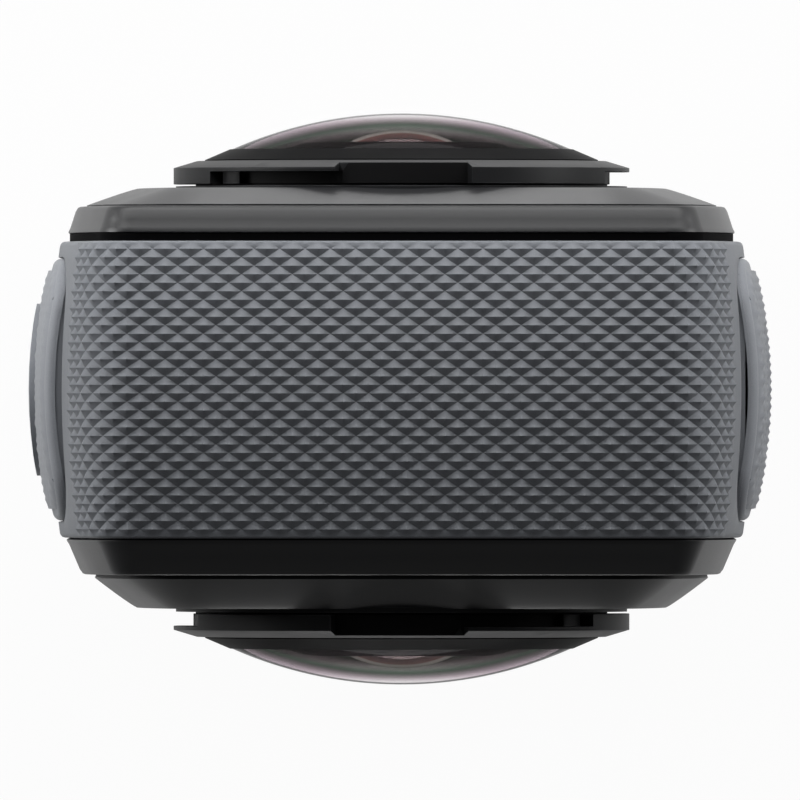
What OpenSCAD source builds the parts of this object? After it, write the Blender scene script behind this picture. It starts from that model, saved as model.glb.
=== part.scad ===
// Compact camera with two back to back fisheye lenses, a textured grip band and fold-out mounting fingers.
// Frame: X across the body, front lens towards -Y, screen and rear lens towards +Y, Z up, millimetres.

/* [Body] */
// Width across the grip band's edges at mid height
band_w = 58.6; // [57:0.1:61]
// Height of the body at the grip band's edges
body_h = 68.5; // [67:0.1:72]
// Corner radius of the grip band seen from the front
corner_r = 3.9; // [3.8:0.1:4.6]
// Half height of the straight middle of the sides
side_flat = 11.4; // [8:0.1:14]
// Radius of the curve from the straight sides to the corners
side_round = 70; // [62:1:90]
// Depth of the grip band's front edge from the middle
band_front = 11.9; // [11.6:0.1:12.4]
// Depth of the grip band's rear edge from the middle
band_rear = 13.5; // [13.2:0.1:13.8]
// How far the grip's crown rises over its edges
band_crown = 0.9; // [0.5:0.1:1.3]
// Thickness of the grip skin at its edges
skin_t = 1.6; // [1.3:0.1:1.8]
// Wall thickness of the mid frame
wall_t = 1.8; // [1.5:0.1:2]

/* [Shells] */
// Depth of the flat front and rear faces from the middle
face_y = 18.2; // [18:0.1:18.8]
// Width of the front bezel where it meets the grip
front_bezel_w = 57.6; // [56:0.1:58]
// Width of the front bezel at its outer edge
front_bezel_edge_w = 55; // [54:0.1:56]
// Depth of the front bezel's outer edge from the middle
front_bezel_y = 15.05; // [14.8:0.05:15.4]
// Width of the front plate at its rim
front_plate_w = 52.8; // [52:0.1:53.6]
// Width of the rear bezel where it meets the gasket
rear_bezel_w = 57.3; // [56:0.1:58]
// Width of the rear bezel at its outer edge
rear_bezel_edge_w = 55.8; // [55:0.1:56.6]
// Depth of the rear bezel's outer edge from the middle
rear_bezel_y = 16.5; // [16.2:0.05:16.8]
// Width of the rear plate at its rim
rear_plate_w = 54.2; // [53.4:0.1:55]
// Width of the flat part of both plates
face_w = 46; // [45:0.1:47]
// Height of the dark seam in the rear between grip and bezel
rear_seam = 0.7; // [0.5:0.05:0.9]
// Corner radius of the plates
plate_r = 8; // [7:0.1:9]

/* [Lenses] */
// Height of both lens axes over the body's middle
lens_up = 8.75; // [8.2:0.05:9.2]
// Radius of the twist ring's lugs and flange
ring_r = 19.6; // [19.3:0.1:19.9]
// Height of the twist ring over the face
ring_h = 2.25; // [2.1:0.05:2.5]
// Depth of the notches in the ring
notch_d = 1.3; // [1:0.1:1.5]
// Angle of one lug
lug_a = 45; // [40:1:48]
// Angle of one slot under the flange
slot_a = 40; // [36:1:42]
// Angle from the upward direction to the first lug
lug_start = 18; // [0:1:30]
// Distance from the ring's edge in to the clear dome
dome_in = 4.9; // [4.6:0.1:5.2]
// Height of the dome's edge over the face
dome_edge = 3.22; // [3.1:0.02:3.4]
// Radius of the dome's outer sphere
dome_sphere = 36; // [34:0.5:40]
// Thickness of the dome
dome_t = 1.1; // [0.9:0.05:1.2]
// Distance from the ring's edge in to the dome bezel
bezel_in = 2.7; // [2.4:0.1:3]
// Distance from the ring's edge in to the lens barrel
barrel_in = 7; // [6.8:0.1:7.6]
// Distance from the barrel's edge in to the fisheye element
fisheye_in = 5; // [4.6:0.1:5.4]
// Gap between the dome and the top of the fisheye element
eye_gap = 0.26; // [0.22:0.02:0.5]
// Sphere radius of the fisheye element over its own radius
fisheye_curve = 1.32; // [1.25:0.01:1.45]

/* [Side pads] */
// Width of the side pads from front to rear
pad_w = 22.5; // [22:0.1:22.8]
// Distance from the body's top to the pads' upper ends
pad_top = 11.2; // [10.4:0.1:12]
// Height of the pads' lower ends over the base
pad_low = 9.05; // [8.8:0.05:10]
// Corner radius of the side pads
pad_r = 4.5; // [3.5:0.1:6]
// How far the pads' crown stands out from the grip band's edge line
pad_out = 2.1; // [1.8:0.1:2.3]
// Crown radius of the pads seen from above
pad_crown = 40; // [38:1:44]
// Running gap round the pads in the grip skin
pad_gap = 0.35; // [0.25:0.05:0.5]
// Height of the groove in the grip skin over the pads' upper ends
groove_h = 1.2; // [0.8:0.1:1.6]
// Height of the rebate under the lip at the pads' upper ends
rebate_h = 1.5; // [1:0.1:2]
// Thickness of that lip in the middle
lip_t = 0.8; // [0.6:0.05:1]
// Diameter of the shutter button
shutter_d = 14.8; // [13:0.1:15.5]
// Height of the shutter button over the body's middle
shutter_up = 7.75; // [6:0.25:9]
// How far the buttons stand out of the pad
button_out = 0.65; // [0.4:0.05:0.9]
// Length of the mode button along the body's height
mode_l = 9; // [8:0.1:10]
// Width of the mode button
mode_w = 5.2; // [4.6:0.1:6]
// Distance from the body's middle down to the mode button
mode_down = 10.25; // [9:0.25:11]
// Travel of both buttons
button_travel = 0.6; // [0.4:0.05:0.7]

/* [Base] */
// Height of the base tray
tray_h = 5.4; // [5.2:0.1:6]
// Depth of the finger bay
bay_h = 3.9; // [3.7:0.1:4]
// Width of a finger
finger_w = 15; // [14.6:0.1:15.4]
// Thickness of a finger
finger_t = 3; // [2.8:0.05:3.1]
// Gap between the fingers when both are unfolded
finger_gap = 3.2; // [3.1:0.05:3.6]
// Distance from a finger's hinge to its bore
finger_l = 10.5; // [10:0.1:10.8]
// Radius of the finger's bore
finger_bore = 2.55; // [2.5:0.05:2.7]
// Radius of the finger hinge pins
pin_r = 0.7; // [0.6:0.05:0.8]
// Radius of the tripod thread's wall
thread_r = 3.175; // [3.1:0.025:3.2]
// Outer radius of the tripod bush
bush_r = 4.2; // [4.1:0.05:4.3]

/* [Door] */
// Radius of the door's hinge knuckle
knuckle_r = 1.35; // [1.25:0.05:1.45]
// Radius of the door's hinge pin
door_pin_r = 0.6; // [0.5:0.05:0.7]
// Travel of the door latch
latch_travel = 2; // [1.5:0.1:2.2]

/* [Inside] */
// Length of the battery
battery_l = 40; // [36:0.5:41]
// Width of the battery from front to rear
battery_w = 16.4; // [15:0.1:16.8]
// Height of the battery
battery_h = 14; // [13:0.1:14.3]
// Width of the screen glass
glass_w = 36; // [33:0.5:37]
// Height of the screen glass's lower edge over the base
glass_z = 7.3; // [7:0.1:8]
// Distance from the screen glass up to the lens ring
glass_gap = 1.5; // [1.2:0.1:2.5]

/* [Hidden] */
$fn = 64;
fine = 720;
fit = 0.1;
run = 0.05;
zc = body_h / 2;
hw = band_w / 2;
hh = body_h / 2;
band_mid = (band_rear - band_front) / 2;
band_half = (band_rear + band_front) / 2;
frame_in = skin_t + run;
cave_in = frame_in + wall_t;
rise = hh - corner_r - side_flat;
side_a = asin(rise / side_round);
floor_z = tray_h + wall_t;
lens_z = zc + lens_up;
lens_y = lens_z - zc;
shutter_z = zc + shutter_up;
mode_z = zc - mode_down;
notch_r = ring_r - notch_d;
slot_r = ring_r - 1.7;
leg_r = ring_r - 1.9;
seat_r = ring_r - 4.2;
dome_r = ring_r - dome_in;
barrel_r = ring_r - barrel_in;
fisheye_r = barrel_r - fisheye_in;
fisheye_sphere = fisheye_r * fisheye_curve;
dome_apex = dome_edge + dome_sphere - sqrt(dome_sphere * dome_sphere - dome_r * dome_r);
bezel_r = ring_r - bezel_in;
glass_h = lens_z - ring_r - glass_gap - glass_z;
screen_z = glass_z + glass_h / 2;
rear_mic_z = lens_z - 19;
usb_z = lens_z - 11;
card_z0 = lens_z - 4.8;
hinge_x = (finger_gap + finger_t) / 2;
finger_z0 = 0.4;
hinge_z = finger_z0 + finger_t / 2;
bay_half = finger_w / 2 + 0.3;
bore_x = hinge_x + finger_l;
leg_in = bush_r + 0.5;
pad_bot = pad_low;
pad_h = body_h - pad_top - pad_low;
pad_zc = pad_bot + pad_h / 2 - zc;
door_in = frame_in - 0.6;
knuckle_z = pad_bot + knuckle_r + 0.1;
knuckle_x = hw - 0.55;
plug_half = 8.9;
batt_z0 = floor_z + 0.9;
batt_x1 = 22.4;
barrel_y0 = 1.95;
spreader_t = 1.5;
latch_z = zc + pad_zc + pad_h / 2 - 9;
latch_x = side_at(latch_z + 3);
spread_z0 = floor_z + battery_h + 3.6;

// Places a piece drawn face up on the front: its x stays, its y points up and its z points to -Y
module front_side() { translate([0, 0, zc]) rotate([90, 0, 0]) children(); }

// The same for the rear, which is the front turned half round the vertical
module rear_side() { translate([0, 0, zc]) rotate([90, 0, 180]) children(); }

module on_lens() { translate([0, lens_y, face_y]) children(); }

// Rounded rectangle
module rounded(w, h, r) {
    square([w - 2 * r, h], center = true);
    square([w, h - 2 * r], center = true);
    for (sx = [-1, 1], sy = [-1, 1])
        translate([sx * (w / 2 - r), sy * (h / 2 - r)]) circle(r);
}

function corner_x(w, r) = w - r - side_round * (1 - cos(side_a));

// How far the side stands out at a height
function side_at(z) = let (big = side_round + corner_r, d = max(abs(z - zc) - side_flat, 0))
    hw - big + sqrt(big * big - d * d);

// Large round drawn out straight along its height
module long_round(x, y, r) {
    for (s = [-1, 1]) translate([x, s * y]) circle(r, $fn = fine);
    translate([x - r, -y]) square([2 * r, 2 * y]);
}

// Body outline: flat top and bottom, round corners, sides straight in the middle
// and curving in above and below
module outline(w, h, r) {
    big = side_round + r;
    flat = h - r - rise;
    cx = corner_x(w, r);
    square([2 * cx, 2 * h], center = true);
    for (sx = [-1, 1], sy = [-1, 1])
        translate([sx * cx, sy * (h - r)]) circle(r);
    intersection() {
        long_round(w - big, flat, big);
        long_round(big - w, flat, big);
        square([2 * w + 2, 2 * (h - r + r * sin(side_a))], center = true);
    }
}

// The same outline as points, moved in by an inset, for layers that are lofted
function outline_points(w, h, r, inset) =
    let (big = side_round + r, flat = h - r - rise, cx = corner_x(w, r), q = r - inset, out = big - inset)
    [for (k = [0, 180]) each [
        for (i = [-6:0]) turn(k, [w - big + out * cos(side_a * i / 6), out * sin(side_a * i / 6) - flat]),
        for (i = [0:5]) turn(k, [w - big + out * cos(side_a * i / 6), out * sin(side_a * i / 6) + flat]),
        for (i = [0:7]) let (t = side_a + (90 - side_a) * i / 8)
            turn(k, [cx + q * cos(t), h - r + q * sin(t)]),
        for (i = [0:7]) let (t = 90 + (90 - side_a) * i / 8)
            turn(k, [-cx + q * cos(t), h - r + q * sin(t)])]];

function turn(k, p) = k == 0 ? p : [-p[0], -p[1]];

// Body lofted through layers of [inset, depth], which together bulge outwards
module loft(w, h, r, layers) {
    hull() for (l = layers)
        translate([0, 0, l[1] - 0.005]) linear_extrude(0.01) polygon(outline_points(w, h, r, l[0]));
}

// A box given by its two corners
module span(a, b) { translate(a) cube([b[0] - a[0], b[1] - a[1], b[2] - a[2]]); }

module prism(inset, y0, y1) {
    translate([0, 0, y0]) linear_extrude(y1 - y0) outline(hw - inset, hh - inset, corner_r - inset);
}

// Solid grip band, crowned from front to rear
module crowned_band() {
    loft(hw, hh, corner_r, [for (i = [-5:5]) let (s = i / 5)
        [-band_crown * (1 - s * s), -band_mid + s * band_half]]);
}

// Flat ring that follows the outline
module gasket(w, h, r, y0, y1, wide) {
    translate([0, 0, y0]) linear_extrude(y1 - y0) difference() {
        outline(w, h, r);
        outline(w - wide, h - wide, r - wide);
    }
}

module above(z) { translate([-60, z - zc, -40]) cube([120, 120, 80]); }
module below(z) { translate([-60, z - zc - 120, -40]) cube([120, 120, 80]); }

// Opening along X through one side, drawn as width from front to rear by height
module side_cut(side, y, z, x0, len) {
    translate([side > 0 ? x0 : -x0 - len, y, z]) rotate([90, 0, 90]) linear_extrude(len) children();
}

module frame_ribs() {
    for (s = [-1, 1], y = [-1, 1])
        span([s > 0 ? (y > 0 ? 17.6 : 21.4) : -25.2,
            y > 0 ? spreader_t / 2 + run : -spreader_t / 2 - run - 1.4,
            lens_z + 12.5], [s > 0 ? 25.2 : (y > 0 ? -17.6 : -21.4),
            y > 0 ? spreader_t / 2 + run + 1.4 : -spreader_t / 2 - run, lens_z + 16.5]);
}

// Moulded ring that all other pieces are fixed to
module mid_frame() color([0.12, 0.12, 0.13]) {
    difference() {
        union() {
            difference() {
                front_side() difference() {
                    prism(frame_in, -band_rear + 0.1, band_front - 0.3);
                    difference() {
                        prism(cave_in, -band_rear - 1, band_front + 1);
                        below(floor_z);
                    }
                    below(tray_h);
                }
                side_cut(1, band_mid, batt_z0 + battery_h / 2, 18, 14)
                    square([battery_w + 0.6, battery_h + 0.6], center = true);
                side_cut(1, 3.4, usb_z, 18, 14) rounded(3.9, 9.6, 1.7);
                side_cut(1, 2.45, card_z0 + 5.8, 18, 14) square([2, 12.6], center = true);
                side_cut(-1, band_mid, shutter_z, 18, 14) circle(2.2);
                side_cut(-1, band_mid, mode_z, 18, 14) circle(1.7);
            }
            frame_ribs();
            for (y = [-1, 1])
                translate([knuckle_x, band_mid + y * (plug_half - 0.1), knuckle_z]) rotate([90, 0, 0])
                    cylinder(r = knuckle_r, h = 2.6, center = true);
            for (y = [-1, 1])
                span([24.5, band_mid + y * (plug_half - 0.1) - 1.3, knuckle_z - knuckle_r],
                    [knuckle_x, band_mid + y * (plug_half - 0.1) + 1.3, knuckle_z + 0.2]);
        }
        translate([knuckle_x, band_mid, knuckle_z]) rotate([90, 0, 0])
            cylinder(r = door_pin_r + 0.02, h = 2 * plug_half + 1.7, center = true);
        translate([0, 0, tray_h - 1]) cylinder(r = bush_r + 1.1, h = wall_t - 0.5 + 1);
        for (s = [-1, 1]) translate([s * 9.5, 0, tray_h - 1]) cylinder(r = 0.95, h = wall_t + 0.8);
        for (s = [-1, 1]) translate([s * 19.5, 0, lens_z + 14.5])
            rotate([-90, 0, 0]) cylinder(r = 1.02, h = 6);
    }
}

// Rubber skin round top and sides, its diamond texture is not cut here
module grip_skin() color([0.36, 0.37, 0.39]) difference() {
    front_side() difference() {
        crowned_band();
        prism(skin_t, -40, 40);
        below(tray_h + fit);
    }
    for (s = [-1, 1])
        side_cut(s, band_mid, zc + pad_zc + (groove_h - pad_gap) / 2, 22, 14)
            rounded(pad_w + 2 * pad_gap, pad_h + pad_gap + groove_h, pad_r + pad_gap);
}

// Flat base with the bay for the two folded fingers
module base_tray() color([0.1, 0.1, 0.11]) difference() {
    front_side() difference() {
        intersection() {
            crowned_band();
            translate([-60, -zc, -40]) cube([120, tray_h, 80]);
        }
        prism(frame_in - 0.2, band_front - 0.4, band_front + 1);
    }
    translate([0, 0, -1]) {
        for (s = [-1, 1]) translate([s * bore_x, 0, 0]) cylinder(r = bay_half, h = bay_h + 1);
        translate([-bore_x, -bay_half, 0]) cube([2 * bore_x, 2 * bay_half, bay_h + 1]);
        cylinder(r = bush_r + run, h = 20);
        for (s = [-1, 1]) translate([s * (bore_x + bay_half), 0, 0]) cylinder(r = 3, h = 3);
        for (s = [-1, 1]) translate([s * 9.5, 0, 0]) cylinder(r = 0.95, h = 20);
        for (s = [-1, 1]) translate([s * 9.5, 0, 0]) cylinder(r = 1.75, h = bay_h + 1.75);
    }
    for (x = [-1, 1], y = [-1, 1])
        translate([x * hinge_x, y * (bay_half + 0.7), hinge_z]) rotate([90, 0, 0])
            cylinder(r = pin_r + 0.02, h = 1.7, center = true);
}

module front_gasket() color([0.03, 0.03, 0.03])
    front_side() gasket(hw - frame_in - 0.2, hh - frame_in - 0.2, corner_r - frame_in - 0.2,
        band_front - 0.3, band_front + fit - 0.02, 1.4);

module rear_gasket() color([0.03, 0.03, 0.03])
    rear_side() gasket(hw - 0.8, hh - 0.8, corner_r - 0.8,
        band_rear + 0.02, band_rear + rear_seam - 0.02, 2.8);

// Sloping ring that closes the grip band; its opening takes the face plate
module bezel(w0, w1, y0, y1) difference() {
    loft(w0 / 2, hh - hw + w0 / 2, corner_r, [[0, y0], [(w0 - w1) / 2, y1]]);
    translate([0, 0, y0 - 1]) linear_extrude(y1 - y0 + 2)
        outline(w0 / 2 - 4, hh - hw + w0 / 2 - 4, plate_r - 1.4);
}

module front_bezel() color([0.09, 0.09, 0.1])
    front_side() bezel(front_bezel_w, front_bezel_edge_w, band_front + fit, front_bezel_y);

module rear_bezel() color([0.09, 0.09, 0.1])
    rear_side() bezel(rear_bezel_w, rear_bezel_edge_w, band_rear + rear_seam, rear_bezel_y);

// Face plate: a rounded rim, the flat face and the dish for the lens mount
module plate(w, y0, y1, rim_y) difference() {
    union() {
        loft(w / 2, hh - hw + w / 2, plate_r, concat([[0.05, rim_y]], [for (i = [0:5]) let (t = 90 * i / 5)
            [(w - face_w) / 2 * (1 - cos(t)), rim_y + 0.35 + (y1 - rim_y - 0.35) * sin(t)]]));
        translate([0, 0, y0]) linear_extrude(rim_y - y0 + 0.5)
            outline(w / 2 - 1.2, hh - hw + w / 2 - 1.2, plate_r - 1.2);
    }
    translate([0, lens_y, 0]) cylinder(r = barrel_r + 0.35, h = 40);
    translate([0, lens_y, y1 - 1.7]) cylinder(r = slot_r + 0.2, h = 10);
    translate([0, lens_y, y1 - 0.5]) cylinder(r = ring_r - 0.2 + run, h = 10);
}

module front_plate() color([0.09, 0.09, 0.1]) front_side() difference() {
    plate(front_plate_w, front_bezel_y, face_y, front_bezel_y + 0.25);
    for (i = [-2:2]) translate([12 + i * 1.3, 10.5 - zc, 10]) linear_extrude(20) pill(3.4, 0.7);
    for (s = [-1, 1]) translate([s * 16.5, 16 - zc, 10]) cylinder(r = 0.5, h = 20);
    translate([-12, 10.5 - zc, 10]) cylinder(r = 0.9 + run, h = 20);
}

module rear_plate() color([0.09, 0.09, 0.1]) rear_side() difference() {
    union() {
        plate(rear_plate_w, rear_bezel_y, face_y, rear_bezel_y + 0.2);
        translate([0, 0, face_y - 2.9]) linear_extrude(2)
            outline(rear_plate_w / 2 - 6, hh - hw + rear_plate_w / 2 - 6, plate_r - 6);
    }
    translate([0, lens_y, 0]) cylinder(r = barrel_r + 0.35, h = 40);
    translate([0, lens_y, face_y - 1.7]) cylinder(r = slot_r + 0.2, h = 10);
    translate([0, screen_z - zc, face_y - 1.2]) linear_extrude(5)
        rounded(glass_w + 2 * fit, glass_h + 2 * fit, 1.6 + fit);
    translate([0, screen_z - zc, 0]) linear_extrude(40) rounded(glass_w - 1.6, glass_h - 1.6, 1);
    for (s = [-1, 1]) translate([s * 20.6, rear_mic_z - zc, 10]) cylinder(r = 0.5, h = 20);
}

// Revolved piece drawn as [radius, height over the face]
module turned(pts) { rotate_extrude($fn = 128) polygon(pts); }
module sector(a0, a, pts) { rotate(a0) rotate_extrude(angle = a, $fn = 128) polygon(pts); }

// Fixed bayonet dish in the face plate
module lens_seat() {
    turned([[barrel_r + 0.6, -1.6], [slot_r + 0.1, -1.6], [slot_r + 0.1, -0.45], [ring_r - 0.2, -0.45],
        [ring_r - 0.2, 0.08], [slot_r, 0.08], [slot_r, -1.1], [seat_r, -1.1],
        [seat_r, 0.9], [barrel_r + 0.6, 0.9]]);
    for (k = [0:2])
        sector(90 + k * 120 - 17, 34, [[seat_r - 0.4, 0.3], [seat_r + 1.4, 0.3], [seat_r + 1.4, 0.9],
        [seat_r - 0.4, 0.9]]);
}

module lens_seal() {
    turned([[seat_r - 1.4, 0.9], [seat_r - 0.5, 0.9], [seat_r - 0.5, 1.45], [seat_r - 1.4, 1.45]]);
}

// Twist ring with three lugs, three open slots under a thin flange and three notches
module lens_ring() {
    top = ring_h;
    first = 90 + lug_start + lug_a;
    difference() {
        turned([[dome_r - 0.8, 1.5], [leg_r - 0.5, 1.5], [leg_r - 0.5, -0.8], [leg_r, -0.8], [leg_r, 0.25],
            [ring_r, 0.25], [ring_r, top - 0.6], [ring_r - 2, top], [dome_r - 0.8, top]]);
        for (k = [0:2]) {
            sector(first + k * 120, slot_a + 1,
                [[slot_r + 0.8, 0], [23, 0], [23, 1.3], [slot_r + 0.8, 1.3]]);
            sector(first + k * 120, 2, [[slot_r, 0], [23, 0], [23, 1.3], [slot_r, 1.3]]);
            sector(first + k * 120 + 9, slot_a - 8, [[slot_r, 0], [23, 0], [23, 1.3], [slot_r, 1.3]]);
            sector(first + k * 120 + slot_a, 120 - lug_a - slot_a,
                [[notch_r, -1], [23, -1], [23, 4], [notch_r, 4]]);
        }
    }
    for (k = [0:2])
        sector(90 + k * 120 - 15, 30, [[seat_r + 0.3, -0.8], [leg_r - 0.3, -0.8], [leg_r - 0.3, 0.2],
        [seat_r + 0.3, 0.2]]);
}

function dome_z(r, sphere, apex) = apex - sphere + sqrt(sphere * sphere - r * r);

// Dark cone that frames the dome
module dome_bezel() {
    turned([[dome_r + run, ring_h], [bezel_r, ring_h], [bezel_r, ring_h + 0.1],
        [dome_r + run, dome_z(dome_r, dome_sphere, dome_apex) + 0.05]]);
}

module dome() {
    inner = dome_sphere - dome_t;
    seat = ring_h;
    difference() {
        intersection() {
            translate([0, 0, dome_apex - dome_sphere]) sphere(dome_sphere, $fn = 256);
            translate([0, 0, seat]) cylinder(r = dome_r, h = 20);
        }
        intersection() {
            translate([0, 0, dome_apex - dome_t - inner]) sphere(inner, $fn = 256);
            translate([0, 0, seat - 1]) cylinder(r = dome_r - 0.7, h = 20);
        }
    }
}

// Barrel from the sensor board up to the fisheye element's seat
module barrel() {
    y0 = barrel_y0 - face_y;
    turned([[fisheye_r + 1.6, y0], [barrel_r + 0.4, y0], [barrel_r + 0.4, y0 + 1.4],
        [barrel_r, y0 + 1.4], [barrel_r, 0.9],
        [fisheye_r + 0.1, 0.9],
        [fisheye_r + 0.1, -0.5], [fisheye_r - 2.6, -0.5], [fisheye_r - 2.6, y0 + 1.6],
        [fisheye_r + 1.6, y0 + 1.6]]);
}

module fisheye() intersection() {
    translate([0, 0, dome_apex - dome_t - eye_gap - fisheye_sphere]) sphere(fisheye_sphere, $fn = 128);
    translate([0, 0, -0.5]) cylinder(r = fisheye_r, h = 20);
}

// Black bowl round the fisheye
module baffle() {
    turned([[fisheye_r + 0.15, 0.9], [barrel_r - 0.4, 0.9], [barrel_r - 0.4, 2.4], [barrel_r - 1.2, 2.9],
        [fisheye_r + 1.1, 3.7], [fisheye_r + 0.9, 3.7], [fisheye_r + 0.15, 1.6]]);
}

// Square sensor board with its chip
module sensor() {
    y0 = spreader_t / 2 - face_y;
    translate([-11, -9.5, y0]) cube([22, 19, barrel_y0 - spreader_t / 2]);
    translate([-6, -4.5, y0 + 1]) cube([12, 9, 1.1]);
}

module front_lens_seat() color([0.07, 0.07, 0.075]) front_side() on_lens() lens_seat();
module rear_lens_seat() color([0.07, 0.07, 0.075]) rear_side() on_lens() lens_seat();
module front_lens_seal() color([0.05, 0.05, 0.05]) front_side() on_lens() lens_seal();
module rear_lens_seal() color([0.05, 0.05, 0.05]) rear_side() on_lens() lens_seal();
module front_lens_ring() color([0.1, 0.1, 0.11]) front_side() on_lens() lens_ring();
module rear_lens_ring() color([0.1, 0.1, 0.11]) rear_side() on_lens() lens_ring();
module front_dome_bezel() color([0.05, 0.05, 0.055]) front_side() on_lens() dome_bezel();
module rear_dome_bezel() color([0.05, 0.05, 0.055]) rear_side() on_lens() dome_bezel();
module front_dome() color([0.5, 0.56, 0.56, 0.5]) front_side() on_lens() dome();
module rear_dome() color([0.5, 0.56, 0.56, 0.5]) rear_side() on_lens() dome();
module front_barrel() color([0.04, 0.04, 0.04]) front_side() on_lens() barrel();
module rear_barrel() color([0.04, 0.04, 0.04]) rear_side() on_lens() barrel();
module front_fisheye() color([0.2, 0.14, 0.2]) front_side() on_lens() fisheye();
module rear_fisheye() color([0.2, 0.14, 0.2]) rear_side() on_lens() fisheye();
module front_baffle() color([0.02, 0.02, 0.02]) front_side() on_lens() baffle();
module rear_baffle() color([0.02, 0.02, 0.02]) rear_side() on_lens() baffle();
module front_sensor() color([0.05, 0.2, 0.12]) front_side() on_lens() sensor();
module rear_sensor() color([0.05, 0.2, 0.12]) rear_side() on_lens() sensor();

// Plate between the two lens barrels that carries the sensor boards and spreads their heat
module heat_spreader() color([0.7, 0.71, 0.72]) difference() {
    span([-22.6, -spreader_t / 2, spread_z0], [22.6, spreader_t / 2, lens_z + 18.5]);
    for (s = [-1, 1]) translate([s * 19.5, 0, lens_z + 14.5])
        rotate([90, 0, 0]) cylinder(r = 1.1, h = 10, center = true);
}

// Pan head screws through the spreader into the frame's ribs
module spreader_screws() color([0.6, 0.6, 0.62])
    for (s = [-1, 1])
        translate([s * 19.5, -spreader_t / 2, lens_z + 14.5]) rotate([-90, 0, 0]) {
            cylinder(r = 1, h = 3.4);
            translate([0, 0, -0.9]) cylinder(r = 1.8, h = 0.9);
        }

module main_board() color([0.05, 0.22, 0.14]) {
    y0 = band_mid + battery_w / 2 + 1;
    span([-22, y0, floor_z + 0.3], [22, y0 + 1, floor_z + battery_h + 1.6]);
    span([-6, y0 + 0.9, floor_z + 3], [6, y0 + 1.8, floor_z + 13]);
    span([10, y0 + 0.9, floor_z + 4], [17, y0 + 1.7, floor_z + 11]);
}

module display_module() color([0.03, 0.03, 0.035]) {
    y0 = band_mid + battery_w / 2 + 2.9;
    span([-glass_w / 2 + 1, y0, glass_z + 1], [glass_w / 2 - 1, face_y - 1.2, glass_z + glass_h - 1]);
}

module screen_glass() color([0.02, 0.02, 0.025])
    rear_side() translate([0, screen_z - zc, face_y - 1.2]) linear_extrude(1.15)
        rounded(glass_w, glass_h, 1.6);

// Open ended sleeve the battery slides into
module battery_bay() color([0.14, 0.14, 0.15]) difference() {
    span([batt_x1 - battery_l - 2.6, band_mid - battery_w / 2 - 0.8, floor_z + run],
        [batt_x1 - 0.3, band_mid + battery_w / 2 + 0.8, batt_z0 + battery_h + 0.8]);
    span([batt_x1 - battery_l - 2, band_mid - battery_w / 2 - 0.2, batt_z0 - 0.2],
        [batt_x1 + 5, band_mid + battery_w / 2 + 0.2, batt_z0 + battery_h + 0.2]);
}

module battery() color([0.2, 0.21, 0.23])
    translate([batt_x1 - battery_l, band_mid, batt_z0 + battery_h / 2]) rotate([90, 0, 90])
        linear_extrude(battery_l) rounded(battery_w, battery_h, 1.5);

module battery_contacts() color([0.8, 0.62, 0.25])
    for (i = [-1:1])
        span([batt_x1 - battery_l - 1.95, band_mid + i * 3.2 - 0.7, batt_z0 + 3],
            [batt_x1 - battery_l - 0.05, band_mid + i * 3.2 + 0.7, batt_z0 + 7]);

module io_board() color([0.05, 0.22, 0.14])
    span([barrel_r + 2, spreader_t / 2 + run, floor_z + battery_h + 5],
        [23, spreader_t / 2 + run + 0.9, lens_z + 9]);

module usb_port() color([0.75, 0.75, 0.77])
    translate([16.6, 3.4, usb_z]) rotate([90, 0, 90]) difference() {
        linear_extrude(8.4) rounded(3.3, 9, 1.5);
        translate([0, 0, 2]) linear_extrude(10) rounded(2.6, 8.3, 1.2);
        translate([0, 0, 7.5]) linear_extrude(5) rounded(2.7, 8.4, 1.2);
    }

module card_socket() color([0.68, 0.69, 0.7]) difference() {
    span([barrel_r + 2, 1.75, card_z0], [23.9, 3.15, card_z0 + 11.6]);
    span([barrel_r + 3.4, 2.1, card_z0 + 0.4], [30, 2.85, card_z0 + 11.2]);
}

module speaker() color([0.08, 0.08, 0.08]) front_side()
    translate([12, 10.5 - zc, front_bezel_y - 3]) linear_extrude(2.9) rounded(9, 5.4, 1.5);

module microphones() color([0.6, 0.55, 0.4]) {
    for (s = [-1, 1]) front_side() translate([s * 16.5, 16 - zc, front_bezel_y - 1.05]) linear_extrude(1)
        square([3, 2.4], center = true);
    for (s = [-1, 1]) rear_side() translate([s * 20.6, rear_mic_z - zc, face_y - 3.95]) linear_extrude(1)
        square([2.4, 3], center = true);
}

// Clear light guide of the status light
module front_light() color([0.9, 0.92, 0.95]) front_side() translate([-12, 10.5 - zc, front_bezel_y]) {
    cylinder(r = 0.9, h = face_y - front_bezel_y - 0.05);
    translate([0, 0, -0.6]) cylinder(r = 1.6, h = 0.6);
}

// Crowned ring that the side pads are cut from, between two offsets from the outline
module pad_body(inside, out) front_side() difference() {
    loft(hw, hh, corner_r, [for (i = [-6:6]) let (y = i * pad_w / 12)
        [pad_crown - sqrt(pad_crown * pad_crown - y * y) - out, y - band_mid]]);
    prism(inside, -40, 40);
}

// Pad with a lip at its upper end
module pad_solid(inside, out) difference() {
    intersection() {
        pad_body(inside, out);
        side_cut(1, band_mid, zc + pad_zc, 20, 20) rounded(pad_w, pad_h, pad_r);
    }
    intersection() {
        pad_body(inside + 1, out - lip_t);
        front_side() above(body_h - pad_top - rebate_h);
    }
}

module to_left() { mirror([1, 0, 0]) children(); }

module pill(l, w) {
    square([w, l - w], center = true);
    for (s = [-1, 1]) translate([0, s * (l - w) / 2]) circle(w / 2);
}

// Fixed pad on the left, opened for the two buttons
module left_pad() color([0.36, 0.37, 0.39]) difference() {
    to_left() pad_solid(frame_in - run, pad_out);
    side_cut(-1, band_mid, shutter_z, 18, 20) circle(shutter_d / 2 + 0.12);
    side_cut(-1, band_mid, mode_z, 18, 20) pill(mode_l + 0.24, mode_w + 0.24);
}

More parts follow.
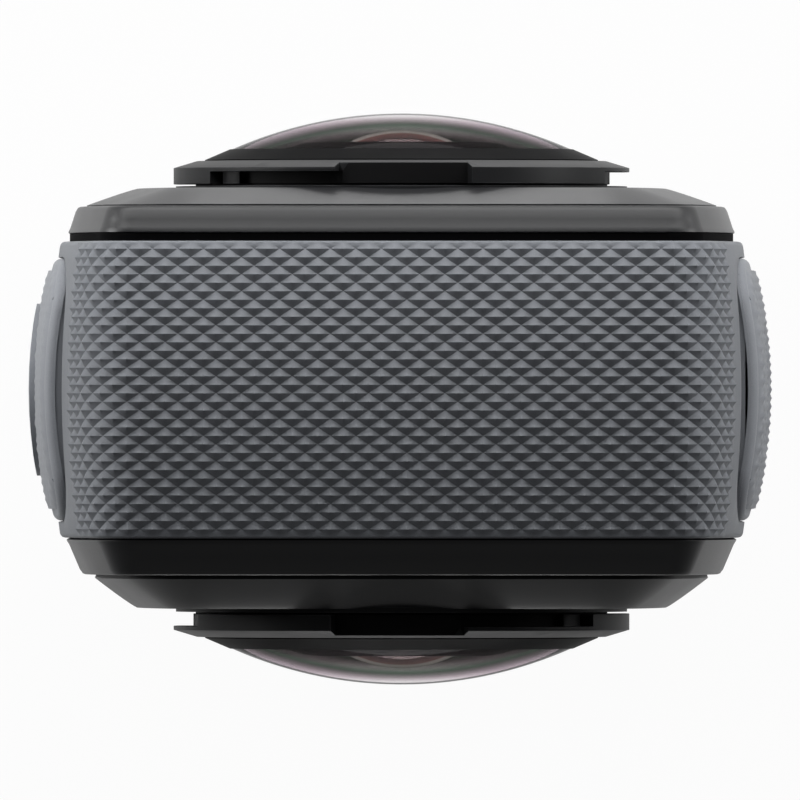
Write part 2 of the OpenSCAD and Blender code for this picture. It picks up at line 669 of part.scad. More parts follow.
// Round cap whose face follows the pad's crown, with a plunger to the switch
module shutter_button() color([0.3, 0.31, 0.33]) {
    intersection() {
        to_left() pad_body(0.15, pad_out + button_out);
        side_cut(-1, band_mid, shutter_z, 18, 20) circle(shutter_d / 2);
    }
    side_cut(-1, band_mid, shutter_z, 25.95, hw - 25.95) circle(2);
}

module mode_button() color([0.3, 0.31, 0.33]) {
    intersection() {
        to_left() pad_body(0.15, pad_out + button_out * 0.6);
        side_cut(-1, band_mid, mode_z, 18, 20) pill(mode_l, mode_w);
    }
    side_cut(-1, band_mid, mode_z, 25.75, hw - 25.75) circle(1.5);
}

module shutter_seal() color([0.05, 0.05, 0.05])
    side_cut(-1, band_mid, shutter_z, hw - frame_in + run, 0.4) difference() {
        circle(3.6);
        circle(2.05);
    }

module mode_seal() color([0.05, 0.05, 0.05])
    side_cut(-1, band_mid, mode_z, hw - frame_in + run, 0.4) difference() {
        circle(2.5);
        circle(1.55);
    }

module button_board() color([0.05, 0.22, 0.14])
    span([-24.2, band_mid - 5, mode_z - 4], [-23.4, band_mid + 5, shutter_z + 5]);

module tact(z, x1) {
    span([-x1, band_mid - 2.4, z - 2.4], [-24.2, band_mid + 2.4, z + 2.4]);
}
module shutter_switch() color([0.7, 0.7, 0.72]) tact(shutter_z, 25.95 - button_travel - 0.05);
module mode_switch() color([0.7, 0.7, 0.72]) tact(mode_z, 25.75 - button_travel - 0.05);

// Door over battery, socket and card slot, hinged at its lower end
module side_door() color([0.36, 0.37, 0.39]) difference() {
    union() {
        intersection() {
            pad_solid(door_in, pad_out);
            front_side() above(knuckle_z + knuckle_r + 0.45);
        }
        translate([knuckle_x, band_mid, knuckle_z]) rotate([90, 0, 0])
            cylinder(r = knuckle_r, h = 2 * plug_half - 3.4, center = true);
        span([knuckle_x - 0.7, band_mid - plug_half + 1.7, knuckle_z],
            [knuckle_x + knuckle_r, band_mid + plug_half - 1.7, knuckle_z + knuckle_r + 1.2]);
    }
    translate([knuckle_x, band_mid, knuckle_z]) rotate([90, 0, 0])
        cylinder(r = door_pin_r + run, h = 40, center = true);
    side_cut(1, band_mid, latch_z - latch_travel / 2, latch_x + 0.4, 10)
        rounded(9.4, 6.4 + latch_travel, 1.5);
}

// Gasket in the door's inner face round the openings
module door_seal() color([0.05, 0.05, 0.05]) intersection() {
    front_side() difference() {
        prism(door_in, -20, 20);
        prism(frame_in - run, -21, 21);
    }
    difference() {
        side_cut(1, band_mid, zc + pad_zc + 1.2, 20, 20) rounded(2 * plug_half + 3, pad_h - 8.4, 3.5);
        side_cut(1, band_mid, zc + pad_zc + 1.2, 19, 22) rounded(2 * plug_half + 0.8, pad_h - 10.6, 2.5);
    }
}

module door_pin() color([0.7, 0.7, 0.72])
    translate([knuckle_x, band_mid, knuckle_z]) rotate([90, 0, 0])
        cylinder(r = door_pin_r, h = 2 * plug_half + 1.4, center = true);

// Thumb slide in the door's recess
module door_latch() color([0.12, 0.12, 0.13]) intersection() {
    pad_body(1, pad_out - 0.1);
    side_cut(1, band_mid, latch_z, latch_x + 0.5, 20) rounded(9, 6, 1.3);
}

// Flat finger with a round tip, a bore and two hinge legs that pass the tripod bush
module finger() difference() {
    union() {
        translate([bore_x, 0, finger_z0]) cylinder(r = finger_w / 2, h = finger_t);
        span([hinge_x, -finger_w / 2, finger_z0], [bore_x, finger_w / 2, finger_z0 + finger_t]);
        translate([hinge_x, 0, hinge_z]) rotate([90, 0, 0])
            cylinder(r = finger_t / 2, h = finger_w, center = true);
    }
    translate([0, 0, -1]) cylinder(r = bush_r + 1.4, h = 10);
    span([0, -leg_in, -1], [hinge_x + hinge_z + 0.35, leg_in, 10]);
    translate([bore_x, 0, -1]) cylinder(r = finger_bore, h = 10);
    translate([hinge_x, 0, hinge_z]) rotate([90, 0, 0]) cylinder(r = pin_r + run, h = 40, center = true);
}

module finger_right() color([0.12, 0.12, 0.13]) finger();
module finger_left() color([0.12, 0.12, 0.13]) rotate(180) finger();

module finger_pins() color([0.7, 0.7, 0.72])
    for (x = [-1, 1], y = [-1, 1])
        translate([x * hinge_x, y * (leg_in + (bay_half + 1.5 - leg_in) / 2), hinge_z]) rotate([90, 0, 0])
            cylinder(r = pin_r, h = bay_half + 1.5 - leg_in, center = true);

module tripod_bush() color([0.78, 0.62, 0.3]) difference() {
    union() {
        cylinder(r = bush_r, h = floor_z - 0.55);
        translate([0, 0, tray_h]) cylinder(r = bush_r + 1, h = floor_z - 0.55 - tray_h);
    }
    translate([0, 0, -1]) cylinder(r = thread_r, h = tray_h + 1.4);
}

module base_screws() color([0.6, 0.6, 0.62])
    for (s = [-1, 1]) translate([s * 9.5, 0, bay_h + 0.75]) {
        cylinder(r = 0.9, h = tray_h + wall_t - 0.3 - bay_h - 0.75);
        translate([0, 0, -0.7]) cylinder(r = 1.65, h = 0.7);
    }

mid_frame();
grip_skin();
base_tray();
front_gasket();
front_bezel();
front_plate();
rear_gasket();
rear_bezel();
rear_plate();
front_lens_seat();
front_lens_seal();
front_lens_ring();
front_dome_bezel();
front_dome();
front_barrel();
front_fisheye();
front_baffle();
front_sensor();
rear_lens_seat();
rear_lens_seal();
rear_lens_ring();
rear_dome_bezel();
rear_dome();
rear_barrel();
rear_fisheye();
rear_baffle();
rear_sensor();
heat_spreader();
spreader_screws();
main_board();
display_module();
screen_glass();
battery_bay();
battery();
battery_contacts();
io_board();
usb_port();
card_socket();
speaker();
microphones();
front_light();
left_pad();
shutter_button();
shutter_seal();
mode_button();
mode_seal();
button_board();
shutter_switch();
mode_switch();
side_door();
door_seal();
door_pin();
door_latch();
finger_left();
finger_right();
finger_pins();
tripod_bush();
base_screws();
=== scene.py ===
import math

import bmesh
import bpy
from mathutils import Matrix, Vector


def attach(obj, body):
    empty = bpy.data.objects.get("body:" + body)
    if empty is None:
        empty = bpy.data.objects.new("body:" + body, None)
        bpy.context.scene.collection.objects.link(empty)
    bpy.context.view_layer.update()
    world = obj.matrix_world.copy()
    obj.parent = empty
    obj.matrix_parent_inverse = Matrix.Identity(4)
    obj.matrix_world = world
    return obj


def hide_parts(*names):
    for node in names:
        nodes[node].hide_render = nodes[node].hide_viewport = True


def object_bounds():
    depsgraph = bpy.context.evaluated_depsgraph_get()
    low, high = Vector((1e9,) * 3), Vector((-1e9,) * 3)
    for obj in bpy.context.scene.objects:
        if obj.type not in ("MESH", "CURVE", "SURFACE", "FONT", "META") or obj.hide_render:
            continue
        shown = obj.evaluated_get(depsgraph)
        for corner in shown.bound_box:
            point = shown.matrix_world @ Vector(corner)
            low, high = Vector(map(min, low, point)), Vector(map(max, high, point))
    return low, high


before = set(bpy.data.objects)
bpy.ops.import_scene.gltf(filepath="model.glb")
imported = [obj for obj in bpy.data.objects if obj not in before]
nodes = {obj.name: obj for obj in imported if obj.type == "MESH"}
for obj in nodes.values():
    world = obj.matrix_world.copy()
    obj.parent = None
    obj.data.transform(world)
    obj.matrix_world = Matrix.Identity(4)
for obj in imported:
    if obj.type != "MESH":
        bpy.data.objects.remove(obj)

cad_low, cad_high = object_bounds()
bpy.ops.object.select_all(action="DESELECT")
MM = 0.001


# Mid frame: a ring moulded in black glass-filled nylon. Everything else is screwed, clipped or glued
# to it, and it shows only when the side door is open.
def node_group(name, inputs, outputs):
    """A new shader group with number sockets, its input node and its output node."""
    tree = bpy.data.node_groups.new(name, "ShaderNodeTree")
    for label, default in inputs:
        socket = tree.interface.new_socket(label, in_out="INPUT", socket_type="NodeSocketFloat")
        socket.default_value = default
    for label in outputs:
        tree.interface.new_socket(label, in_out="OUTPUT", socket_type="NodeSocketFloat")
    return tree, tree.nodes.new("NodeGroupInput"), tree.nodes.new("NodeGroupOutput")


def noise(tree, coords, scale, detail, rough=0.5):
    """Noise over coordinates; its scale is a number or a socket."""
    node = tree.nodes.new("ShaderNodeTexNoise")
    node.inputs["Detail"].default_value = detail
    node.inputs["Roughness"].default_value = rough
    tree.links.new(coords, node.inputs["Vector"])
    if isinstance(scale, (int, float)):
        node.inputs["Scale"].default_value = scale
    else:
        tree.links.new(scale, node.inputs["Scale"])
    return node.outputs["Fac"]


def stretch(tree, value, low, high, to_low, to_high):
    """Maps a value from one range onto another."""
    node = tree.nodes.new("ShaderNodeMapRange")
    for label, number in (("From Min", low), ("From Max", high), ("To Min", to_low), ("To Max", to_high)):
        node.inputs[label].default_value = number
    tree.links.new(value, node.inputs["Value"])
    return node.outputs["Result"]


def sums(tree, kind, a, b):
    """One step of arithmetic on two values, each a number or a socket."""
    node = tree.nodes.new("ShaderNodeMath")
    node.operation = kind
    for socket, value in zip(node.inputs, (a, b)):
        if isinstance(value, (int, float)):
            socket.default_value = value
        else:
            tree.links.new(value, socket)
    return node.outputs[0]


# Fine erosion grain of a moulding tool, with faint cloudy patches from handling
moulded, moulded_in, moulded_out = node_group(
    "moulded_grain", [("Fine", 5000.0), ("Patch", 120.0)], ["Tone", "Rough", "Height"])
coords = moulded.nodes.new("ShaderNodeTexCoord").outputs["Object"]
fine = noise(moulded, coords, moulded_in.outputs["Fine"], 3.0, 0.6)
patch = noise(moulded, coords, moulded_in.outputs["Patch"], 5.0, 0.55)
fine_part = sums(moulded, "MULTIPLY", fine, 0.45)
patch_part = sums(moulded, "MULTIPLY", patch, 0.55)
mottle = sums(moulded, "ADD", fine_part, patch_part)
moulded.links.new(stretch(moulded, mottle, 0.33, 0.67, 0.0, 1.0), moulded_out.inputs["Tone"])
moulded.links.new(stretch(moulded, patch, 0.3, 0.7, 0.0, 1.0), moulded_out.inputs["Rough"])
moulded.links.new(fine, moulded_out.inputs["Height"])

# Edges rubbed bright by pockets and hands
WEAR = 0.2
rubbed, rubbed_in, rubbed_out = node_group(
    "rubbed_edges", [("Width", WEAR * MM), ("Patch", 300.0)], ["Mask"])
soft = rubbed.nodes.new("ShaderNodeBevel")
soft.samples = 4
rubbed.links.new(rubbed_in.outputs["Width"], soft.inputs["Radius"])
turn = rubbed.nodes.new("ShaderNodeVectorMath")
turn.operation = "DOT_PRODUCT"
rubbed.links.new(soft.outputs["Normal"], turn.inputs[0])
rubbed.links.new(rubbed.nodes.new("ShaderNodeNewGeometry").outputs["Normal"], turn.inputs[1])
bent = stretch(rubbed, turn.outputs["Value"], 0.985, 0.86, 0.0, 1.0)
where = rubbed.nodes.new("ShaderNodeTexCoord").outputs["Object"]
broken = stretch(rubbed, noise(rubbed, where, rubbed_in.outputs["Patch"], 4.0), 0.4, 0.62, 0.15, 1.0)
rubbed.links.new(sums(rubbed, "MULTIPLY", bent, broken), rubbed_out.inputs["Mask"])
GRAIN_DEPTH = 0.04


def surface(material):
    return material.node_tree.nodes["Principled BSDF"]


def finish(name, dark, light, rough, fine=5000.0, patch=120.0, bump=0.15, metal=0.0, worn=None,
           wear_width=WEAR, shine=0.5):
    """A grained material between two tones and two roughnesses, rubbed at its edges where worn."""
    material = bpy.data.materials.new(name)
    material.use_nodes = True
    tree = material.node_tree
    shader = surface(material)
    shader.inputs["Metallic"].default_value = metal
    shader.inputs["Specular IOR Level"].default_value = shine
    grain = tree.nodes.new("ShaderNodeGroup")
    grain.node_tree = moulded
    grain.inputs["Fine"].default_value = fine
    grain.inputs["Patch"].default_value = patch
    tone = tree.nodes.new("ShaderNodeValToRGB")
    tone.color_ramp.elements[0].color = (*dark, 1.0)
    tone.color_ramp.elements[1].color = (*light, 1.0)
    tree.links.new(grain.outputs["Tone"], tone.inputs["Fac"])
    colour = tone.outputs["Color"]
    gloss = stretch(tree, grain.outputs["Rough"], 0.0, 1.0, rough[0], rough[1])
    if worn:
        edges = tree.nodes.new("ShaderNodeGroup")
        edges.node_tree = rubbed
        edges.inputs["Width"].default_value = wear_width * MM
        rub = tree.nodes.new("ShaderNodeMix")
        rub.data_type = "RGBA"
        rub.inputs[7].default_value = (*worn, 1.0)
        tree.links.new(edges.outputs["Mask"], rub.inputs[0])
        tree.links.new(colour, rub.inputs[6])
        colour = rub.outputs[2]
    tree.links.new(colour, shader.inputs["Base Color"])
    tree.links.new(gloss, shader.inputs["Roughness"])
    rise = tree.nodes.new("ShaderNodeBump")
    rise.inputs["Strength"].default_value = bump
    rise.inputs["Distance"].default_value = GRAIN_DEPTH * MM
    tree.links.new(grain.outputs["Height"], rise.inputs["Height"])
    tree.links.new(rise.outputs["Normal"], shader.inputs["Normal"])
    return material


def dress(material, *names):
    """Gives carried-over solids their material."""
    for name in names:
        mesh = nodes[name].data
        mesh.materials.clear()
        mesh.materials.append(material)


frame_nylon = finish("frame_nylon", (0.010, 0.010, 0.011), (0.017, 0.017, 0.018), (0.48, 0.6), bump=0.3)
dress(frame_nylon, "mid_frame", "battery_bay")


# Circuit boards: green glass-epoxy cards with tinned parts and an aluminium heat spreader, screwed or
# soldered behind the battery, the door and the buttons. They are only glimpsed through the open door.
board_green = finish("board_green", (0.006, 0.045, 0.022), (0.012, 0.075, 0.038), (0.3, 0.42),
                     fine=2600.0, patch=900.0)
dress(board_green, "main_board", "io_board", "button_board", "front_sensor", "rear_sensor")
tinned = finish("tinned_steel", (0.50, 0.50, 0.51), (0.64, 0.64, 0.65), (0.24, 0.36),
                fine=3500.0, metal=1.0, bump=0.1)
dress(tinned, "usb_port", "card_socket", "shutter_switch", "mode_switch", "spreader_screws",
      "base_screws")
spreader_metal = finish("spreader_metal", (0.55, 0.55, 0.56), (0.66, 0.66, 0.67), (0.34, 0.5),
                        fine=1800.0, metal=1.0)
dress(spreader_metal, "heat_spreader", "microphones")


# Battery: a removable pack in a plain grey sleeve that slides in from the right side. Gold-plated
# springs at the blind end of its bay carry the current.
battery_sleeve = finish("battery_sleeve", (0.035, 0.037, 0.040), (0.055, 0.057, 0.060), (0.35, 0.5),
                        fine=3000.0)
dress(battery_sleeve, "battery")
contact_gold = finish("contact_gold", (0.70, 0.47, 0.17), (0.82, 0.58, 0.24), (0.2, 0.32), metal=1.0)
dress(contact_gold, "battery_contacts")


# Grip band: a thick silicone-rubber skin moulded over top and sides, crowned from front to rear, with
# a soft groove round each side pad. It is bonded to the frame.
HALF_W, HALF_H, CORNER, SIDE_ROUND, SIDE_FLAT = 29.3, 34.25, 3.9, 70.0, 11.4
BAND_FRONT, BAND_REAR, CROWN, SKIN, TRAY = -11.9, 13.5, 0.9, 1.5, 5.5
RISE = HALF_H - CORNER - SIDE_FLAT
LEAN = math.asin(RISE / SIDE_ROUND)
BAND_MID = (BAND_FRONT + BAND_REAR) / 2
MID_Z = HALF_H
FLAT_STEPS, SIDE_STEPS, CORNER_STEPS, TOP_STEPS = 4, 12, 16, 6


def body_outline(half_w, half_h, corner, y):
    """Points round the body outline at a depth, in metres, from the middle of the right side upwards."""
    big = SIDE_ROUND + corner
    flat = half_h - corner - RISE
    corner_x = half_w - corner - SIDE_ROUND * (1 - math.cos(LEAN))
    quarter = [(half_w, flat * i / FLAT_STEPS) for i in range(FLAT_STEPS)]
    for i in range(SIDE_STEPS):
        t = LEAN * i / SIDE_STEPS
        quarter.append((half_w - big + big * math.cos(t), flat + big * math.sin(t)))
    for i in range(CORNER_STEPS + 1):
        t = LEAN + (math.pi / 2 - LEAN) * i / CORNER_STEPS
        quarter.append((corner_x + corner * math.cos(t), half_h - corner + corner * math.sin(t)))
    quarter += [(corner_x * (1 - i / TOP_STEPS), half_h) for i in range(1, TOP_STEPS)]
    left = [(-x, z) for x, z in reversed(quarter[1:])]
    upper = quarter + [(0.0, half_h)] + left + [(-half_w, 0.0)]
    lower = [(-x, -z) for x, z in upper[1:-1]]
    return [Vector((x, y, z + MID_Z)) * MM for x, z in upper + lower]


def inset_outline(inset, y):
    return body_outline(HALF_W - inset, HALF_H - inset, CORNER - inset, y)


def loft(name, layers, closed=False):
    """A wire loop that is extruded through the layers, as a ring when closed."""
    bpy.ops.object.select_all(action="DESELECT")
    bpy.ops.mesh.primitive_circle_add(vertices=len(layers[0]), radius=0.03)
    piece = bpy.context.object
    piece.name = piece.data.name = name
    bpy.ops.object.mode_set(mode="EDIT")
    bpy.ops.mesh.select_all(action="SELECT")
    shape = bmesh.from_edit_mesh(piece.data)
    loop = list(shape.verts)
    for vert, place in zip(loop, layers[0]):
        vert.co = place
    for layer in layers[1:] + (layers[:1] if closed else []):
        order = {tuple(round(c, 9) for c in v.co): i for i, v in enumerate(loop)}
        bpy.ops.mesh.extrude_edges_move()
        shape = bmesh.from_edit_mesh(piece.data)
        loop = [None] * len(layer)
        for vert in shape.verts:
            if vert.select:
                loop[order[tuple(round(c, 9) for c in vert.co)]] = vert
        for vert, place in zip(loop, layer):
            vert.co = place
    bmesh.update_edit_mesh(piece.data)
    bpy.ops.mesh.select_all(action="SELECT")
    if closed:
        bpy.ops.mesh.remove_doubles(threshold=1e-7)
    bpy.ops.mesh.normals_make_consistent(inside=False)
    bpy.ops.object.mode_set(mode="OBJECT")
    return piece


def closed_loft(name, layers):
    """Loft with its first and last loops filled."""
    piece = loft(name, layers)
    bpy.ops.object.mode_set(mode="EDIT")
    bpy.ops.mesh.select_mode(type="EDGE")
    bpy.ops.mesh.select_all(action="DESELECT")
    bpy.ops.mesh.select_non_manifold()
    bpy.ops.mesh.fill_holes(sides=0)
    bpy.ops.mesh.select_all(action="SELECT")
    bpy.ops.mesh.normals_make_consistent(inside=False)
    bpy.ops.object.mode_set(mode="OBJECT")
    return piece


def take(piece):
    """Makes a piece the only one selected."""
    bpy.ops.object.select_all(action="DESELECT")
    piece.select_set(True)
    bpy.context.view_layer.objects.active = piece


def use(piece, kind, **values):
    """Adds a modifier and applies it."""
    take(piece)
    modifier = piece.modifiers.new(kind.lower(), kind)
    for key, value in values.items():
        setattr(modifier, key, value)
    bpy.ops.object.modifier_apply(modifier=modifier.name)


def smooth(piece, degrees=32.0):
    take(piece)
    bpy.ops.object.shade_smooth_by_angle(angle=math.radians(degrees))


def trim_below(piece, z):
    """Cuts a piece off flat below a height and closes the cut."""
    take(piece)
    bpy.ops.object.mode_set(mode="EDIT")
    bpy.ops.mesh.select_all(action="SELECT")
    bpy.ops.mesh.bisect(plane_co=(0, 0, z * MM), plane_no=(0, 0, 1), use_fill=True, clear_inner=True)
    bpy.ops.object.mode_set(mode="OBJECT")


def crown_at(y):
    """How far the band swells out at a depth."""
    s = (y - BAND_MID) / ((BAND_REAR - BAND_FRONT) / 2)
    return CROWN * (1 - s * s)


EDGE, EDGE_IN, BAND_STEPS = 0.4, 0.35, 18


def edge_layers(start, inward, turns):
    """Outlines over one rounded edge of the band."""
    layers = []
    for t in turns:
        y = start + inward * EDGE * (1 - math.cos(math.radians(t)))
        layers.append(inset_outline(EDGE_IN * (1 - math.sin(math.radians(t))) - crown_at(y), y))
    return layers


skin_layers = [inset_outline(SKIN, BAND_FRONT), inset_outline(EDGE_IN, BAND_FRONT)]
skin_layers += edge_layers(BAND_FRONT, 1, (30, 60, 90))
for i in range(1, BAND_STEPS):
    y = BAND_FRONT + EDGE + (BAND_REAR - BAND_FRONT - 2 * EDGE) * i / BAND_STEPS
    skin_layers.append(inset_outline(-crown_at(y), y))
skin_layers += edge_layers(BAND_REAR, -1, (90, 60, 30))
skin_layers += [inset_outline(EDGE_IN, BAND_REAR), inset_outline(SKIN, BAND_REAR)]
grip_band = loft("grip_band", skin_layers, closed=True)
trim_below(grip_band, TRAY)

PAD_W, PAD_LOW, PAD_HIGH, PAD_R = 22.5, 9.05, 57.3, 4.5
PAD_GAP, PAD_FIT, GROOVE, WEB, LIP_SOFT = 0.12, 0.04, 1.2, 0.35, 0.25
CUT_X, CUT_LONG = 30.0, 16.0


def side_cutter(low, high, width, radius, side):
    """A long rounded block along X that opens one side."""
    bpy.ops.object.select_all(action="DESELECT")
    bpy.ops.mesh.primitive_cube_add(size=1.0)
    block = bpy.context.object
    for v in block.data.vertices:
        x, y, z = v.co
        v.co = Vector((side * (CUT_X + CUT_LONG * x), BAND_MID + width * y,
                       (low + high) / 2 + (high - low) * z)) * MM
    bpy.ops.object.mode_set(mode="EDIT")
    bpy.ops.mesh.select_mode(type="EDGE")
    bpy.ops.mesh.select_all(action="DESELECT")
    shape = bmesh.from_edit_mesh(block.data)
    for edge in shape.edges:
        a, b = (v.co for v in edge.verts)
        edge.select = abs(a.x - b.x) > 1e-3
    bmesh.update_edit_mesh(block.data)
    bpy.ops.mesh.bevel(offset=radius * MM, segments=10, affect="EDGES")
    bpy.ops.mesh.select_all(action="SELECT")
    bpy.ops.mesh.normals_make_consistent(inside=False)
    bpy.ops.object.mode_set(mode="OBJECT")
    return block


# Each side gets a groove that stops at a thin web, then the opening that the pad passes through
core_depths = [BAND_FRONT + step for step in range(26)]
core = closed_loft("groove_floor", [inset_outline(WEB - crown_at(y), y) for y in core_depths])
for side in (-1, 1):
    for gap, rise, stop in ((PAD_GAP, GROOVE, core), (PAD_FIT, PAD_FIT, None)):
        block = side_cutter(PAD_LOW - gap, PAD_HIGH + rise, PAD_W + 2 * gap, PAD_R + gap, side)
        if stop:
            use(block, "BOOLEAN", object=stop, operation="DIFFERENCE", solver="EXACT")
        use(grip_band, "BOOLEAN", object=block, operation="DIFFERENCE", solver="EXACT")
        bpy.data.objects.remove(block)
bpy.data.objects.remove(core)
use(grip_band, "BEVEL", width=LIP_SOFT * MM, segments=3, limit_method="ANGLE",
    angle_limit=math.radians(50))
smooth(grip_band, 40)
grip_rubber = finish("grip_rubber", (0.150, 0.160, 0.178), (0.190, 0.202, 0.222), (0.56, 0.7),
                     fine=9000.0, patch=90.0, bump=0.22)
RUBBER_SHEEN = 0.12
surface(grip_rubber).inputs["Sheen Weight"].default_value = RUBBER_SHEEN
grip_band.data.materials.append(grip_rubber)
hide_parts("grip_skin")
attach(grip_band, "housing")


# Diamond knurl of the grip: four-sided points in staggered rows, moulded in one with the rubber skin
# and fading out before the smooth border over each side pad.
COLUMN, ROW, POINT = 1.085, 0.7257, 0.42
FIRST_X, FIRST_Y, KNURL_END = -0.636, 5.564, 33.2
GRIP_COLUMNS, GRIP_ROWS = (-31, 32), (-25, 11)
SKIN_OUT, SIT, SHEET = 0.75, 0.03, 0.25
BORDER, END_FADE, RIM_FADE = 0.15, 1.2, 0.3


def on_band(s, y, lift):
    """A place on the crowned band: s runs along the outline from the middle of the top."""
    out = crown_at(y) + lift
    corner_x = HALF_W - CORNER - SIDE_ROUND * (1 - math.cos(LEAN))
    turn_l = (CORNER + SKIN_OUT) * (math.pi / 2 - LEAN)
    d = abs(s)
    if d < corner_x:
        x, z = d, HALF_H + out
    elif d < corner_x + turn_l:
        t = math.pi / 2 - (d - corner_x) / (CORNER + SKIN_OUT)
        x, z = corner_x + (CORNER + out) * math.cos(t), HALF_H - CORNER + (CORNER + out) * math.sin(t)
    else:
        big = SIDE_ROUND + CORNER
        t = LEAN - (d - corner_x - turn_l) / (big + SKIN_OUT)
        x, z = HALF_W - big + (big + out) * math.cos(t), SIDE_FLAT + (big + out) * math.sin(t)
    return Vector((math.copysign(x, s), y, z + MID_Z)) * MM


def knurl_sheet(name, columns, rows, place):
    """A grid with staggered four-sided points; every flank is split once more and is slightly hollow."""
    bpy.ops.object.select_all(action="DESELECT")
    wide, deep = columns[1] - columns[0], rows[1] - rows[0]
    bpy.ops.mesh.primitive_grid_add(x_subdivisions=2 * wide, y_subdivisions=2 * deep, size=1.0)
    sheet = bpy.context.object
    sheet.name = sheet.data.name = name
    cell = [((v.co.x + 0.5) * wide + columns[0], (v.co.y + 0.5) * deep + rows[0])
            for v in sheet.data.vertices]
    bpy.ops.object.mode_set(mode="EDIT")
    bpy.ops.mesh.select_mode(type="FACE")
    # Diagonals follow the valleys between the points and run level across their flanks
    for method in ("FIXED", "FIXED_ALTERNATE"):
        bpy.ops.mesh.select_all(action="DESELECT")
        shape = bmesh.from_edit_mesh(sheet.data)
        for face in shape.faces:
            if len(face.verts) == 4:
                corners = [cell[v.index] for v in face.verts]
                mid = [sum(c[k] for c in corners) / 4 for k in (0, 1)]
                rising = (math.floor(mid[0]) + math.floor(mid[1])) % 2 == 1
                along = (corners[0][0] - mid[0]) * (corners[0][1] - mid[1]) > 0
                face.select = (method == "FIXED") == (rising == along)
        bmesh.update_edit_mesh(sheet.data)
        bpy.ops.mesh.quads_convert_to_tris(quad_method=method, ngon_method="BEAUTY")
    bpy.ops.object.mode_set(mode="OBJECT")
    for v in sheet.data.vertices:
        i, j = cell[v.index]
        du, dv = abs(i - round(i)), abs(j - round(j))
        step = round(i) + round(j)
        rise = 1 - (du + dv) if step % 2 == 0 else abs(du - dv)
        v.co = place(i, j, rise * (0.5 + 0.5 * rise))
    return sheet


def band_place(i, j, height):
    """Where a knurl point lands on the band; points flatten towards the sheet's borders."""
    s, y = FIRST_X + COLUMN * i, FIRST_Y + ROW * j
    front, rear = BAND_FRONT + BORDER, BAND_REAR - BORDER
    fade = min(1.0, (KNURL_END - abs(s)) / END_FADE, (y - front) / RIM_FADE, (rear - y) / RIM_FADE)
    s = max(-KNURL_END, min(KNURL_END, s))
    y = max(front, min(rear, y))
    return on_band(s, y, SIT + POINT * height * max(0.0, fade))


diamonds = knurl_sheet("grip_diamonds", GRIP_COLUMNS, GRIP_ROWS, band_place)
use(diamonds, "SOLIDIFY", thickness=SHEET * MM, offset=-1.0)
smooth(diamonds, 42)
diamonds.data.materials.append(grip_rubber)
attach(diamonds, "housing")


# Face shells: magnesium rings and plates with a dark satin coat. Each ring closes the grip band and
# the plate is glued into it; the rear ring sits on a black rubber seam.
satin_coat = finish("satin_coat", (0.0095, 0.0098, 0.0110), (0.0130, 0.0134, 0.0148), (0.34, 0.42),
                    fine=11000.0, patch=60.0, bump=0.10, worn=(0.045, 0.046, 0.050))
UNDER_BACK, UNDER_FACE, TIGHT = 6.1, 5.5, 0.6
RIM_STEPS, SWELL = 16, 1.1
FRONT_Y, REAR_Y, PLATE_R, FACE_W, LENS_Z, RING_R = -17.95, 18.08, 8.0, 22.8, 43.0, 19.6


def shell_loop(half_w, y, corner):
    return body_outline(half_w, HALF_H - HALF_W + half_w, corner, y)


def bezel_ring(name, back_half, face_half, back_y, face_y, out):
    """Sloping ring with rounded edges that reaches in behind its plate; out is -1 for the front."""
    # Half width and depth of each loop, from the back over the slope to the face
    slope = [(back_half - UNDER_BACK, back_y), (back_half - 0.12, back_y),
             (back_half - 0.03, back_y + 0.06), (back_half - 0.03, back_y + 0.16)]
    drop = (back_half - face_half) / (face_y - back_y)
    slope += [(back_half - 0.03 - drop * (y - back_y), y)
              for y in (back_y + 0.5, (back_y + face_y) / 2, face_y - 0.42)]
    slope += [(face_half - 0.02, face_y - 0.2), (face_half - 0.1, face_y - 0.08),
              (face_half - 0.3, face_y), (face_half - UNDER_FACE, face_y)]
    layers = [shell_loop(w, out * y, max(CORNER - back_half + w, TIGHT)) for w, y in slope]
    return loft(name, layers, closed=True)


front_rim = bezel_ring("front_rim", back_half=28.8, face_half=27.5, back_y=12.0, face_y=15.05, out=-1)
rear_rim = bezel_ring("rear_rim", back_half=28.65, face_half=27.9, back_y=14.2, face_y=16.5, out=1)
for rim, node in ((front_rim, "front_bezel"), (rear_rim, "rear_bezel")):
    smooth(rim, 40)
    rim.data.materials.append(satin_coat)
    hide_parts(node)
    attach(rim, "housing")


def add_hole(points):
    """A wire loop in the mesh that is being edited."""
    bpy.ops.mesh.select_all(action="DESELECT")
    bpy.ops.mesh.primitive_circle_add(vertices=len(points), radius=0.01)
    shape = bmesh.from_edit_mesh(bpy.context.object.data)
    for vert, place in zip([v for v in shape.verts if v.select], points):
        vert.co = place
    bmesh.update_edit_mesh(bpy.context.object.data)


def round_hole(x, z, radius, y, steps):
    """Points of a round opening in a face at a depth."""
    turns = [2 * math.pi * i / steps for i in range(steps)]
    return [Vector((x + radius * math.cos(a), y, z + radius * math.sin(a))) * MM for a in turns]


def long_hole(x, z, wide, high, radius, y, steps=6):
    """Points of an opening with straight sides and rounded corners."""
    points = []
    for k, (sx, sz) in enumerate(((1, 1), (-1, 1), (-1, -1), (1, -1))):
        for i in range(steps + 1):
            t = math.radians(90 * k + 90 * i / steps)
            points.append(Vector((x + sx * (wide / 2 - radius) + radius * math.cos(t), y,
                                  z + sz * (high / 2 - radius) + radius * math.sin(t))) * MM)
    return points


def select_open(piece, y, sides):
    """Selects the edges at one depth that carry one of the given numbers of faces."""
    bpy.ops.mesh.select_all(action="DESELECT")
    shape = bmesh.from_edit_mesh(piece.data)
    for edge in shape.edges:
        level = all(abs(v.co.y - y * MM) < 1e-7 for v in edge.verts)
        edge.select = level and len(edge.link_faces) in sides
    bmesh.update_edit_mesh(piece.data)


